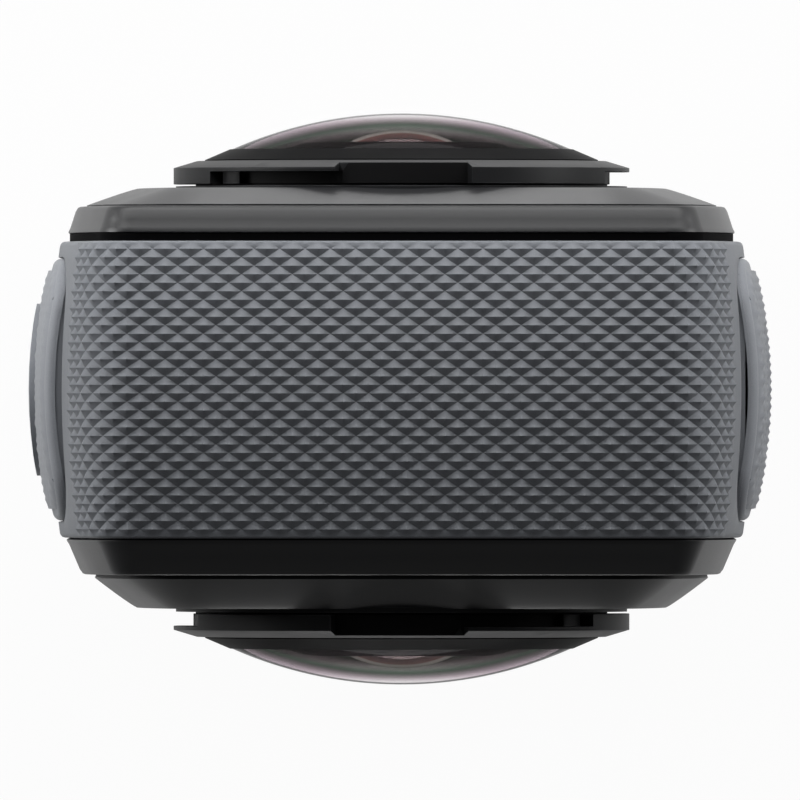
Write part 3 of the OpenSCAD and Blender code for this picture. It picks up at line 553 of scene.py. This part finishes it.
def fill_plane(piece, y):
    """Fills the open loops that lie at one depth, round their openings."""
    select_open(piece, y, (0, 1))
    bpy.ops.mesh.fill(use_beauty=True)


def face_plate(name, half, rim_y, back_y, face_y, holes):
    """Plate with a sloping rim, a flat face filled round its openings, and walls down to a flat back."""
    out = math.copysign(1.0, face_y)
    # Half width and depth of each loop, from the back over the rim to the flat face
    rows = [(half - 2.0, back_y), (half - 0.12, back_y), (half - 0.02, rim_y - 0.1)]
    for i in range(RIM_STEPS + 1):
        t = i / RIM_STEPS
        climb = (abs(face_y) - rim_y) * (1 - (1 - t) ** SWELL)
        rows.append((half - (half - FACE_W) * t, rim_y + climb))
    plate = loft(name, [shell_loop(w, out * y, PLATE_R - half + w) for w, y in rows])
    bpy.ops.object.mode_set(mode="EDIT")
    bpy.ops.mesh.select_mode(type="EDGE")
    for hole in holes:
        add_hole(hole)
    fill_plane(plate, face_y)
    select_open(plate, face_y, (1,))
    to_back = (0, (out * back_y - face_y) * MM, 0)
    bpy.ops.mesh.extrude_edges_move(TRANSFORM_OT_translate={"value": to_back})
    fill_plane(plate, out * back_y)
    bpy.ops.mesh.select_all(action="SELECT")
    bpy.ops.mesh.normals_make_consistent(inside=False)
    bpy.ops.object.mode_set(mode="OBJECT")
    smooth(plate, 40)
    for polygon in plate.data.polygons:
        depths = [plate.data.vertices[i].co.y for i in polygon.vertices]
        polygon.use_smooth = max(depths) - min(depths) > 1e-6
    plate.data.materials.append(satin_coat)
    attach(plate, "housing")
    return plate


OPENING_R, OPENING_STEPS = RING_R - 0.75, 160
PORT_X, PORT_Z, PORT_PITCH, PORT_W, PORT_H, PORT_END = 12.0, 10.5, 1.3, 0.7, 3.4, 0.349
MIC_R, MIC_STEPS, FRONT_MIC_X, FRONT_MIC_Z, REAR_MIC_X, REAR_MIC_Z = 0.5, 20, 16.5, 16.0, 20.6, 24.0
LAMP_R, LAMP_STEPS = 0.95, 28
SCREEN_Z, SCREEN_W, SCREEN_H, SCREEN_R = 14.6, 36.2, 14.8, 1.7
face_holes = [round_hole(0, LENS_Z, OPENING_R, FRONT_Y, OPENING_STEPS)]
face_holes += [long_hole(PORT_X + i * PORT_PITCH, PORT_Z, PORT_W, PORT_H, PORT_END, FRONT_Y)
               for i in range(-2, 3)]
face_holes += [round_hole(x, FRONT_MIC_Z, MIC_R, FRONT_Y, MIC_STEPS) for x in (-FRONT_MIC_X, FRONT_MIC_X)]
face_holes += [round_hole(-PORT_X, PORT_Z, LAMP_R, FRONT_Y, LAMP_STEPS)]
front_face = face_plate("front_face", half=26.4, rim_y=15.4, back_y=15.05, face_y=FRONT_Y,
                        holes=face_holes)
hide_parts("front_plate")
back_holes = [round_hole(0, LENS_Z, OPENING_R, REAR_Y, OPENING_STEPS),
              long_hole(0, SCREEN_Z, SCREEN_W, SCREEN_H, SCREEN_R, REAR_Y)]
back_holes += [round_hole(x, REAR_MIC_Z, MIC_R, REAR_Y, MIC_STEPS) for x in (-REAR_MIC_X, REAR_MIC_X)]
rear_face = face_plate("rear_face", half=27.1, rim_y=16.65, back_y=16.5, face_y=REAR_Y,
                       holes=back_holes)
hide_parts("rear_plate")
# Painted shade: black rubber darkened further, so seams, seals and the speaker behind its slots read as
# deep shade
seam_rubber_and_shade = finish("seam_rubber_and_shade", (0.0006, 0.0006, 0.0008), (0.0014, 0.0014, 0.0017), (0.8, 0.95),
                     fine=6000.0, shine=0.05)
dress(seam_rubber_and_shade, "front_gasket", "rear_gasket", "front_lens_seal", "rear_lens_seal", "shutter_seal",
      "mode_seal", "door_seal", "speaker")


# Twist rings and their seats: turned aluminium with a hard dark coat. Three lugs, three slots under a
# thin flange and three notches let fingers turn the lens guard off its bayonet; the ring's faces inside
# the slots are painted near black, as painted shade under the flange.
MERGE, NEARLY_FLAT = 2e-6, 0.6


def softened(node, name, width, angle=30.0, segments=2, before=None):
    """A merged copy of a solid, reshaped by before where given, with its sharp edges rounded."""
    mesh = nodes[node].data.copy()
    mesh.materials.clear()
    piece = bpy.data.objects.new(name, mesh)
    mesh.name = name
    bpy.context.scene.collection.objects.link(piece)
    take(piece)
    if mesh.has_custom_normals:
        bpy.ops.mesh.customdata_custom_splitnormals_clear()
    bpy.ops.object.mode_set(mode="EDIT")
    bpy.ops.mesh.select_all(action="SELECT")
    bpy.ops.mesh.remove_doubles(threshold=MERGE)
    bpy.ops.mesh.dissolve_limited(angle_limit=math.radians(NEARLY_FLAT))
    bpy.ops.object.mode_set(mode="OBJECT")
    if before:
        before(piece)
    if width:
        use(piece, "BEVEL", width=width * MM, segments=segments, limit_method="ANGLE",
            angle_limit=math.radians(angle), loop_slide=False)
    smooth(piece, angle + 4)
    use(piece, "WEIGHTED_NORMAL", keep_sharp=True)
    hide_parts(node)
    return piece


ring_coat = finish("ring_coat", (0.0085, 0.0088, 0.0095), (0.0125, 0.0128, 0.0138), (0.38, 0.48),
                   fine=9000.0, patch=90.0, bump=0.12, worn=(0.06, 0.061, 0.065), wear_width=0.18,
                   shine=0.14)
# Painted shade: a near-black material for the ring's faces inside the slots, under the flange
slot_shade = finish("slot_shade", (0.0020, 0.0020, 0.0022), (0.0036, 0.0036, 0.0040), (0.55, 0.7),
                    fine=9000.0, shine=0.1)
SLOT_Y, SLOT_R = 19.95, 18.35
for end in ("front", "rear"):
    ring = softened(end + "_lens_ring", end + "_twist_ring", width=0.1)
    ring.data.materials.append(ring_coat)
    ring.data.materials.append(slot_shade)
    # Faces inside the slots take the painted shade
    for polygon in ring.data.polygons:
        x, y, z = polygon.center / MM
        polygon.material_index = int(abs(y) < SLOT_Y and math.hypot(x, z - LENS_Z) < SLOT_R)
    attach(ring, end + "_lens")
dress(ring_coat, "front_lens_seat", "rear_lens_seat")


# Lens guard: a pressed dome of coated clear polycarbonate, glued into a black cone in the twist ring,
# over the polished glass fisheye element and the black bowl round it.
cone_black = finish("cone_black", (0.0012, 0.0012, 0.0014), (0.0022, 0.0022, 0.0025), (0.38, 0.48),
                    fine=7000.0, bump=0.06, shine=0.012)
dress(cone_black, "front_dome_bezel", "rear_dome_bezel")
baffle_black = finish("baffle_black", (0.004, 0.004, 0.004), (0.008, 0.008, 0.008), (0.4, 0.55),
                      fine=4000.0, shine=0.15)
dress(baffle_black, "front_baffle", "rear_baffle", "front_barrel", "rear_barrel")
FACE, DOME_R, DOME_SPHERE, DOME_WALL, DOME_SEAT, DOME_TOP = 18.2, 14.7, 36.0, 1.1, 2.25, 6.358
DOME_LAND, LENS_STEPS, CAP_STEPS, POLE_R = 0.7, 128, 26, 0.02
EYE_R, EYE_SPHERE, EYE_TOP, EYE_BACK = 7.6, 10.032, 4.998, -0.5


def tint_by(material, measure, steps):
    """Multiplies a material's colour by a ramp of tints over a measure, on outer faces only."""
    tree, shader = material.node_tree, surface(material)
    tint = tree.nodes.new("ShaderNodeValToRGB")
    tree.links.new(measure, tint.inputs["Fac"])
    for element, (place, colour) in zip(tint.color_ramp.elements, (steps[0], steps[-1])):
        element.position, element.color = place, (*colour, 1.0)
    for place, colour in steps[1:-1]:
        tint.color_ramp.elements.new(place).color = (*colour, 1.0)
    both = tree.nodes.new("ShaderNodeMix")
    both.data_type, both.blend_type = "RGBA", "MULTIPLY"
    inner = tree.nodes.new("ShaderNodeNewGeometry").outputs["Backfacing"]
    tree.links.new(sums(tree, "SUBTRACT", 1.0, inner), both.inputs[0])
    tree.links.new(shader.inputs["Base Color"].links[0].from_socket, both.inputs[6])
    tree.links.new(tint.outputs["Color"], both.inputs[7])
    tree.links.new(both.outputs[2], shader.inputs["Base Color"])


def by_radius(material, reach, steps):
    """Tints a material by its distance from the lens axis; on the dome this is painted shade that darkens
    it to plum towards its rim.
    """
    tree = material.node_tree
    flat = tree.nodes.new("ShaderNodeVectorMath")
    flat.operation = "MULTIPLY_ADD"
    flat.inputs[1].default_value = (1 / reach, 0, 1 / reach)
    flat.inputs[2].default_value = (0, 0, -LENS_Z * MM / reach)
    tree.links.new(tree.nodes.new("ShaderNodeTexCoord").outputs["Object"], flat.inputs[0])
    away = tree.nodes.new("ShaderNodeVectorMath")
    away.operation = "LENGTH"
    tree.links.new(flat.outputs[0], away.inputs[0])
    tint_by(material, away.outputs["Value"], steps)


def by_angle(material, steps):
    """Tints a material by how squarely it is seen: partly the colour shift of a coated lens, partly
    painted reflection and painted shade.
    """
    slant = material.node_tree.nodes.new("ShaderNodeLayerWeight").outputs["Facing"]
    tint_by(material, slant, steps)
    return slant


# Clear when seen squarely, green at a slant, then a near-black band of painted shade and a pale violet
# grazing rim; the green and violet are partly the coating and partly painted reflection
dome_clear = finish("dome_clear", (0.93, 0.94, 0.93), (1.0, 1.0, 1.0), (0.0, 0.012),
                    fine=1500.0, patch=200.0, bump=0.004)
slant = by_angle(dome_clear, [
    (0.0, (0.92, 0.93, 0.92)), (0.45, (0.80, 0.82, 0.79)), (0.62, (0.60, 0.63, 0.57)),
    (0.67, (0.36, 0.41, 0.34)), (0.70, (0.23, 0.28, 0.22)), (0.736, (0.075, 0.120, 0.080)),
    (0.757, (0.028, 0.060, 0.034)), (0.772, (0.008, 0.021, 0.010)), (0.80, (0.048, 0.055, 0.047)),
    (0.824, (0.150, 0.140, 0.138)), (0.85, (0.42, 0.37, 0.39)), (0.89, (0.90, 0.82, 0.86)),
    (1.0, (1.0, 0.95, 0.98))])
# Painted shade: the dome darkens to plum towards its rim
by_radius(dome_clear, DOME_R * MM, [
    (0.27, (1.0, 1.0, 1.0)), (0.48, (0.56, 0.45, 0.51)), (0.65, (0.28, 0.20, 0.25)),
    (0.87, (0.14, 0.10, 0.125)), (1.0, (0.065, 0.05, 0.058))])
clear = surface(dome_clear)
clear.inputs["Transmission Weight"].default_value = 1.0
clear.inputs["IOR"].default_value = 1.03
clear.inputs["Coat Roughness"].default_value = 0.01
coat = stretch(dome_clear.node_tree, slant, 0.45, 0.58, 1.0, 0.0)
dome_clear.node_tree.links.new(coat, clear.inputs["Coat Weight"])

# Near black when seen squarely, dark red at a slant, partly coating and partly painted reflection, and a
# painted highlight along the grazing edge
eye_glass = finish("eye_glass", (0.85, 0.85, 0.85), (1.0, 1.0, 1.0), (0.02, 0.05), fine=900.0, bump=0.004)
by_angle(eye_glass, [
    (0.0, (0.010, 0.009, 0.014)), (0.35, (0.014, 0.010, 0.015)), (0.58, (0.05, 0.015, 0.014)),
    (0.70, (0.28, 0.09, 0.075)), (0.745, (0.42, 0.16, 0.13)), (0.785, (1.0, 0.93, 0.88)),
    (1.0, (1.0, 0.96, 0.92))])
eye = surface(eye_glass)
eye.inputs["IOR"].default_value = 1.65
eye.inputs["Specular Tint"].default_value = (0.75, 0.5, 0.5, 1.0)


def sphere_rows(sphere, top, radius):
    """Radius and height pairs over a sphere's cap, from its edge to the middle."""
    turns = [math.pi / 2 * (CAP_STEPS - i) / CAP_STEPS for i in range(CAP_STEPS)]
    radii = [radius * math.sin(t) for t in turns] + [POLE_R]
    return [(r, top - sphere + math.sqrt(sphere ** 2 - r ** 2)) for r in radii]


def lens_turned(name, profile, out):
    """Profile of radius and height over the face, turned round the lens axis."""
    turns = [2 * math.pi * i / LENS_STEPS for i in range(LENS_STEPS)]
    layers = []
    for r, h in profile:
        y = out * (FACE + h)
        layers.append([Vector((r * math.cos(a), y, LENS_Z + r * math.sin(a))) * MM for a in turns])
    piece = closed_loft(name, layers)
    smooth(piece)
    return piece


dome_inner = DOME_R - DOME_LAND
dome_profile = sphere_rows(DOME_SPHERE - DOME_WALL, DOME_TOP - DOME_WALL, dome_inner)[::-1]
dome_profile += [(dome_inner, DOME_SEAT), (DOME_R, DOME_SEAT)]
dome_profile += sphere_rows(DOME_SPHERE, DOME_TOP, DOME_R)
eye_profile = [(EYE_R, EYE_BACK)] + sphere_rows(EYE_SPHERE, EYE_TOP, EYE_R)
for end, out in (("front", -1), ("rear", 1)):
    for kind, profile, material, body, slot in (
            ("dome", dome_profile, dome_clear, end + "_lens", "dome_glass"),
            ("fisheye", eye_profile, eye_glass, "housing", "lens_glass")):
        piece = lens_turned(end + "_clear_" + kind, profile, out)
        piece.data.materials.append(material)
        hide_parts(end + "_" + kind)
        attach(piece, body)


# Side pads: the left pad carries the round shutter button and the long mode button, the right one is
# the hinged door with its thumb slide. All are rubber moulded over a hard core; the left pad is clipped
# into the frame and the door swings on a steel pin.
PAD_OUT, PAD_CROWN, ROLL, GROOVE_IN, LIP = 2.1, 40.0, 0.55, 0.3, 0.85
PAD_MID = (PAD_LOW + PAD_HIGH) / 2
PAD_TURN, PAD_ACROSS, PAD_ALONG, PAD_LEAST_R = 8, 12, 24, 0.2
BLOCK_OUT, BLOCK_DEEP, ROLL_START, TRIM_IN, TRIM_DOWN = 0.6, 12.0, 0.1, 0.004, 0.008
CROWN_INSETS = (0.9, 1.6, 2.8, 4.2, 6.0, 8.0, 9.6, 10.9)
LAND_DEEP, LAND_HIGH = 3.2, 4.0
PAD_COLUMNS, PAD_ROWS, PAD_SHEET = (-22, 22), (-14, 14), 0.2
PLAIN, PAD_FADE, PAD_SINK, PAD_LIFT = 0.7, 0.6, 0.12, 0.14


def side_x(y, z, lift):
    """How far out the crowned pad surface lies, with a lift over it."""
    across = y - BAND_MID
    out = PAD_OUT - PAD_CROWN + math.sqrt(PAD_CROWN ** 2 - across ** 2) + lift
    up = max(0.0, abs(z - MID_Z) - SIDE_FLAT)
    big = SIDE_ROUND + CORNER
    return HALF_W - big + math.sqrt((big + out) ** 2 - up ** 2)


def from_edge(y, z, mid_z, half_y, half_z, radius):
    """Signed distance to a rounded rectangle on a pad, below zero inside it."""
    a, b = abs(y - BAND_MID) - half_y + radius, abs(z - mid_z) - half_z + radius
    return math.hypot(max(a, 0.0), max(b, 0.0)) + min(max(a, b), 0.0) - radius


def pad_edge(y, z):
    return from_edge(y, z, PAD_MID, PAD_W / 2, (PAD_HIGH - PAD_LOW) / 2, PAD_R)


def pad_loop(inset, lift, side):
    """Points round the pad's edge at an inset, on its crowned surface or below it."""
    half_y, half_z = PAD_W / 2 - inset, (PAD_HIGH - PAD_LOW) / 2 - inset
    radius = max(PAD_R - inset, min(PAD_LEAST_R, 0.8 * half_y))
    flat = []
    for k, (sy, sz) in enumerate(((1, 1), (-1, 1), (-1, -1), (1, -1))):
        mid_y, mid_z = BAND_MID + sy * (half_y - radius), PAD_MID + sz * (half_z - radius)
        for i in range(PAD_TURN + 1):
            t = math.radians(90 * k + 90 * i / PAD_TURN)
            flat.append((mid_y + radius * math.cos(t), mid_z + radius * math.sin(t)))
        steps = PAD_ALONG if k % 2 else PAD_ACROSS
        along = (0, -sz * 2 * (half_z - radius)) if k % 2 else (-sy * 2 * (half_y - radius), 0)
        y, z = flat[-1]
        flat += [(y + along[0] * i / steps, z + along[1] * i / steps) for i in range(1, steps)]
    return [Vector((side * side_x(y, z, lift), y, z)) * MM for y, z in flat]


def roll_lip(piece):
    """Trims a pad to its smooth crown with a rolled rim."""
    side = math.copysign(1.0, piece.data.vertices[0].co.x)
    layers = [pad_loop(-BLOCK_OUT, -BLOCK_DEEP, side), pad_loop(-BLOCK_OUT, -ROLL - ROLL_START, side)]
    for degrees in range(0, 91, 15):
        t = math.radians(degrees)
        inset, drop = ROLL * (1 - math.cos(t)) + TRIM_IN, ROLL * (1 - math.sin(t)) + TRIM_DOWN
        layers.append(pad_loop(inset, -drop, side))
    layers += [pad_loop(inset, -TRIM_DOWN, side) for inset in CROWN_INSETS]
    block = closed_loft("rolled_block", layers)
    use(piece, "BOOLEAN", object=block, operation="INTERSECT", solver="EXACT")
    bpy.data.objects.remove(block)


def groove_plug(name, side):
    """Soft land under the lip that keeps the groove over a pad shallow."""
    plug = closed_loft(name, [pad_loop(GROOVE_IN, lift, side) for lift in (-LAND_DEEP, -LIP)])
    trim_below(plug, PAD_HIGH - LAND_HIGH)
    smooth(plug, 40)
    return plug


def pad_knurl(name, side, point, clear_of):
    """Diamond sheet that sinks into its pad at a plain border and round buttons or slide."""
    def room(y, z):
        return min([-pad_edge(y, z) - PLAIN] + [gap(y, z) for gap in clear_of])

    def place(i, j, height):
        y, z = BAND_MID + ROW * j, PAD_MID + COLUMN * i
        spare = room(y, z)
        fade = max(0.0, min(1.0, spare / PAD_FADE))
        lift = -PAD_SINK + min(0.0, spare) + (PAD_LIFT + point * height) * fade
        return Vector((side * side_x(y, z, lift), y, z)) * MM

    sheet = knurl_sheet(name, PAD_COLUMNS, PAD_ROWS, place)
    bpy.ops.object.mode_set(mode="EDIT")
    bpy.ops.mesh.select_mode(type="FACE")
    bpy.ops.mesh.select_all(action="DESELECT")
    shape = bmesh.from_edit_mesh(sheet.data)
    for face in shape.faces:
        face.select = all(room(v.co.y / MM, v.co.z / MM) < 0.0 for v in face.verts)
    bmesh.update_edit_mesh(sheet.data)
    bpy.ops.mesh.delete(type="FACE")
    bpy.ops.mesh.select_all(action="SELECT")
    if side < 0:
        bpy.ops.mesh.flip_normals()
    bpy.ops.object.mode_set(mode="OBJECT")
    use(sheet, "SOLIDIFY", thickness=PAD_SHEET * MM, offset=-1.0)
    smooth(sheet, 42)
    return sheet


# Lighter than the grip rubber: partly the pads' own tone, partly painted light that offsets the shade
# their fine knurl casts on itself
pad_tone_and_light = finish("pad_tone_and_light", (0.245, 0.257, 0.281), (0.298, 0.312, 0.338), (0.56, 0.7),
                    fine=9000.0, patch=90.0, bump=0.22)
surface(pad_tone_and_light).inputs["Sheen Weight"].default_value = RUBBER_SHEEN
SHUTTER_Z, SHUTTER_ROOM = 42.0, 8.3
MODE_Z, MODE_ROOM = 24.0, {"half_y": 3.3, "half_z": 5.2, "radius": 3.2}
LATCH_Z, LATCH_ROOM = 47.3, {"half_y": 5.3, "half_z": 4.8, "radius": 1.8}
HINGE_TOP = 15.5
keep_clear = {-1: [lambda y, z: math.hypot(y - BAND_MID, z - SHUTTER_Z) - SHUTTER_ROOM,
                   lambda y, z: from_edge(y, z, MODE_Z, **MODE_ROOM)],
              1: [lambda y, z: from_edge(y, z, LATCH_Z, **LATCH_ROOM),
                  lambda y, z: z - HINGE_TOP]}
for node, name, body, side, point in (("left_pad", "left_cheek", "housing", -1, 0.13),
                                      ("side_door", "door_cheek", "door", 1, 0.26)):
    cheek = softened(node, name, width=0.0, angle=40.0, before=roll_lip)
    plug = groove_plug(name + "_land", side)
    sheet = pad_knurl(name + "_knurl", side, point, keep_clear[side])
    for piece in (cheek, plug, sheet):
        piece.data.materials.append(pad_tone_and_light)
        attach(piece, body)
for node, name, body in (("shutter_button", "shutter_cap", "shutter"),
                         ("mode_button", "mode_cap", "mode")):
    cap = softened(node, name, width=0.25, angle=40.0, segments=3)
    cap.data.materials.append(pad_tone_and_light)
    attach(cap, body)
slide_black = finish("slide_black", (0.010, 0.010, 0.011), (0.015, 0.015, 0.017), (0.36, 0.5),
                     worn=(0.05, 0.05, 0.055))
slide = softened("door_latch", "door_slide", width=0.2, angle=40.0)
slide.data.materials.append(slide_black)
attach(slide, "latch")
pin_steel = finish("pin_steel", (0.45, 0.45, 0.46), (0.6, 0.6, 0.61), (0.22, 0.34),
                   fine=2500.0, metal=1.0)
dress(pin_steel, "door_pin", "finger_pins")


# Base: a tray moulded in black nylon, with two fold-out mounting fingers on steel pins round a brass
# thread bush. It is screwed to the frame from below.
tray_nylon = finish("tray_nylon", (0.010, 0.010, 0.011), (0.015, 0.015, 0.0165), (0.42, 0.55),
                    worn=(0.05, 0.05, 0.054))
tray = softened("base_tray", "base_dish", width=0.15, angle=40.0)
tray.data.materials.append(tray_nylon)
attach(tray, "housing")
for side in ("left", "right"):
    finger = softened("finger_" + side, side + "_tab", width=0.25, angle=40.0, segments=3)
    finger.data.materials.append(tray_nylon)
    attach(finger, side + "_finger")
brass = finish("bush_brass", (0.52, 0.36, 0.14), (0.66, 0.47, 0.2), (0.24, 0.38), fine=2600.0, metal=1.0)
bush = softened("tripod_bush", "thread_bush", width=0.12)
bush.data.materials.append(brass)
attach(bush, "housing")


# Screen and light: a hardened touch glass bonded into the rear plate over the display, and the milky
# acrylic light guide of the status lamp, pressed into the front plate.
screen_black = finish("screen_black", (0.0030, 0.0032, 0.0036), (0.0050, 0.0053, 0.0060), (0.04, 0.1),
                      fine=700.0, patch=70.0, bump=0.006)
glass = softened("screen_glass", "touch_glass", width=0.15)
glass.data.materials.append(screen_black)
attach(glass, "housing")
dress(screen_black, "display_module")
lamp_clear = finish("lamp_clear", (0.62, 0.65, 0.68), (0.78, 0.80, 0.83), (0.2, 0.3), fine=3000.0)
dress(lamp_clear, "front_light")


# Stage: a pale paper floor that keeps a soft shadow, soft boxes behind, above, at both sides and far in
# front, a small low card before each lens, and a shot from straight above. Floor and studio are white
# to the camera and through glass, dimmer in reflections, and dim as light.
FLOOR_WHITE, FLOOR_DROP = 0.96, 0.0002
DIM_Y, BRIGHT_Y, DIM_SHARE, BRIGHT_SHARE = -0.07, 0.05, 0.12, 0.95
SKY_MIRRORED, SKY_THROUGH, SKY_LIGHT = 0.12, 0.4, 0.07


def brightest(tree, value, *others):
    for other in others:
        value = sums(tree, "MAXIMUM", value, other)
    return value


bpy.ops.object.select_all(action="DESELECT")
bpy.ops.mesh.primitive_plane_add(size=12.0, location=(0, 0, cad_low.z - FLOOR_DROP))
floor = bpy.context.object
floor.name = "floor"
paper = bpy.data.materials.new("paper")
paper.use_nodes = True
sheet_tree = paper.node_tree
matt = surface(paper)
matt.inputs["Base Color"].default_value = (0.9, 0.9, 0.9, 1.0)
matt.inputs["Roughness"].default_value = 0.8
glow = sheet_tree.nodes.new("ShaderNodeEmission")
glow.inputs["Strength"].default_value = 1.0
floor_ray = sheet_tree.nodes.new("ShaderNodeLightPath").outputs
share = sheet_tree.nodes.new("ShaderNodeMixShader")
spot = sheet_tree.nodes.new("ShaderNodeSeparateXYZ")
sheet_tree.links.new(sheet_tree.nodes.new("ShaderNodeTexCoord").outputs["Object"], spot.inputs[0])
# In reflections the floor is dim at the front of the camera and bright at its rear
lit = stretch(sheet_tree, spot.outputs["Y"], DIM_Y, BRIGHT_Y, DIM_SHARE, BRIGHT_SHARE)
floor_mirrored = sums(sheet_tree, "MULTIPLY", floor_ray["Is Glossy Ray"], lit)
floor_seen = brightest(sheet_tree, floor_ray["Is Camera Ray"], floor_mirrored,
                       floor_ray["Is Transmission Ray"])
sheet_tree.links.new(sums(sheet_tree, "MULTIPLY", floor_seen, FLOOR_WHITE), share.inputs["Fac"])
sheet_tree.links.new(matt.outputs[0], share.inputs[1])
sheet_tree.links.new(glow.outputs[0], share.inputs[2])
under = sheet_tree.nodes.new("ShaderNodeMixShader")
below = sheet_tree.nodes.new("ShaderNodeNewGeometry").outputs["Backfacing"]
sheet_tree.links.new(below, under.inputs["Fac"])
sheet_tree.links.new(share.outputs[0], under.inputs[1])
sheet_tree.links.new(sheet_tree.nodes.new("ShaderNodeBsdfTransparent").outputs[0], under.inputs[2])
sheet_tree.links.new(under.outputs[0], sheet_tree.nodes["Material Output"].inputs["Surface"])
floor.data.materials.append(paper)

world = bpy.data.worlds.new("studio")
world.use_nodes = True
bpy.context.scene.world = world
sky = world.node_tree
back = sky.nodes["Background"]
back.inputs["Color"].default_value = (1.0, 1.0, 1.0, 1.0)
sky_ray = sky.nodes.new("ShaderNodeLightPath").outputs
sky_mirrored = sums(sky, "MULTIPLY", sky_ray["Is Glossy Ray"], SKY_MIRRORED)
sky_through = sums(sky, "MULTIPLY", sky_ray["Is Transmission Ray"], SKY_THROUGH)
sky_seen = brightest(sky, sky_ray["Is Camera Ray"], sky_mirrored, sky_through, SKY_LIGHT)
sky.links.new(sky_seen, back.inputs["Strength"])


def soft_box(name, place, aim, wide, high, power):
    """An area lamp at a place, turned to what it lights, in metres and watts."""
    lamp = bpy.data.lights.new(name, "AREA")
    lamp.shape = "RECTANGLE"
    lamp.size, lamp.size_y, lamp.energy = wide, high, power
    box = bpy.data.objects.new(name, lamp)
    box.location = place
    box.rotation_euler = (Vector(aim) - Vector(place)).to_track_quat("-Z", "Y").to_euler()
    bpy.context.scene.collection.objects.link(box)


soft_box("rear_box", (0.0, 0.056, 0.086), (0.0, 0.0, 0.064), wide=0.16, high=0.03, power=0.062)
soft_box("top_box", (0.0, 0.120, 0.200), (0.0, 0.01, 0.066), wide=0.20, high=0.04, power=0.052)
soft_box("left_box", (-0.14, 0.03, 0.075), (0.0, 0.0, 0.045), wide=0.08, high=0.06, power=0.082)
soft_box("right_box", (0.14, 0.03, 0.075), (0.0, 0.0, 0.045), wide=0.08, high=0.06, power=0.055)
soft_box("front_box", (0.05, -0.6, 0.35), (0.0, 0.0, 0.04), wide=0.5, high=0.4, power=0.05)
soft_box("rear_card", (0.0, 0.078, 0.003), (0.0, 0.022, 0.047), wide=0.045, high=0.009, power=0.0062)
soft_box("front_card", (0.0, -0.078, 0.003), (0.0, -0.022, 0.047), wide=0.045, high=0.009, power=0.0080)

SHOT_X, SHOT_Y, SHOT_Z, SHOT_W, SIGHT_Z = -0.00013, -0.00009, 3.2, 0.0688, 0.043
lens = bpy.data.cameras.new("shot")
lens.sensor_width = 36.0
lens.lens = lens.sensor_width * (SHOT_Z - SIGHT_Z) / SHOT_W
lens.clip_start, lens.clip_end = 0.5, 20.0
shot = bpy.data.objects.new("shot", lens)
shot.location = (SHOT_X, SHOT_Y, SHOT_Z)
bpy.context.scene.collection.objects.link(shot)
bpy.context.scene.camera = shot
bpy.context.scene.view_settings.view_transform = "Standard"
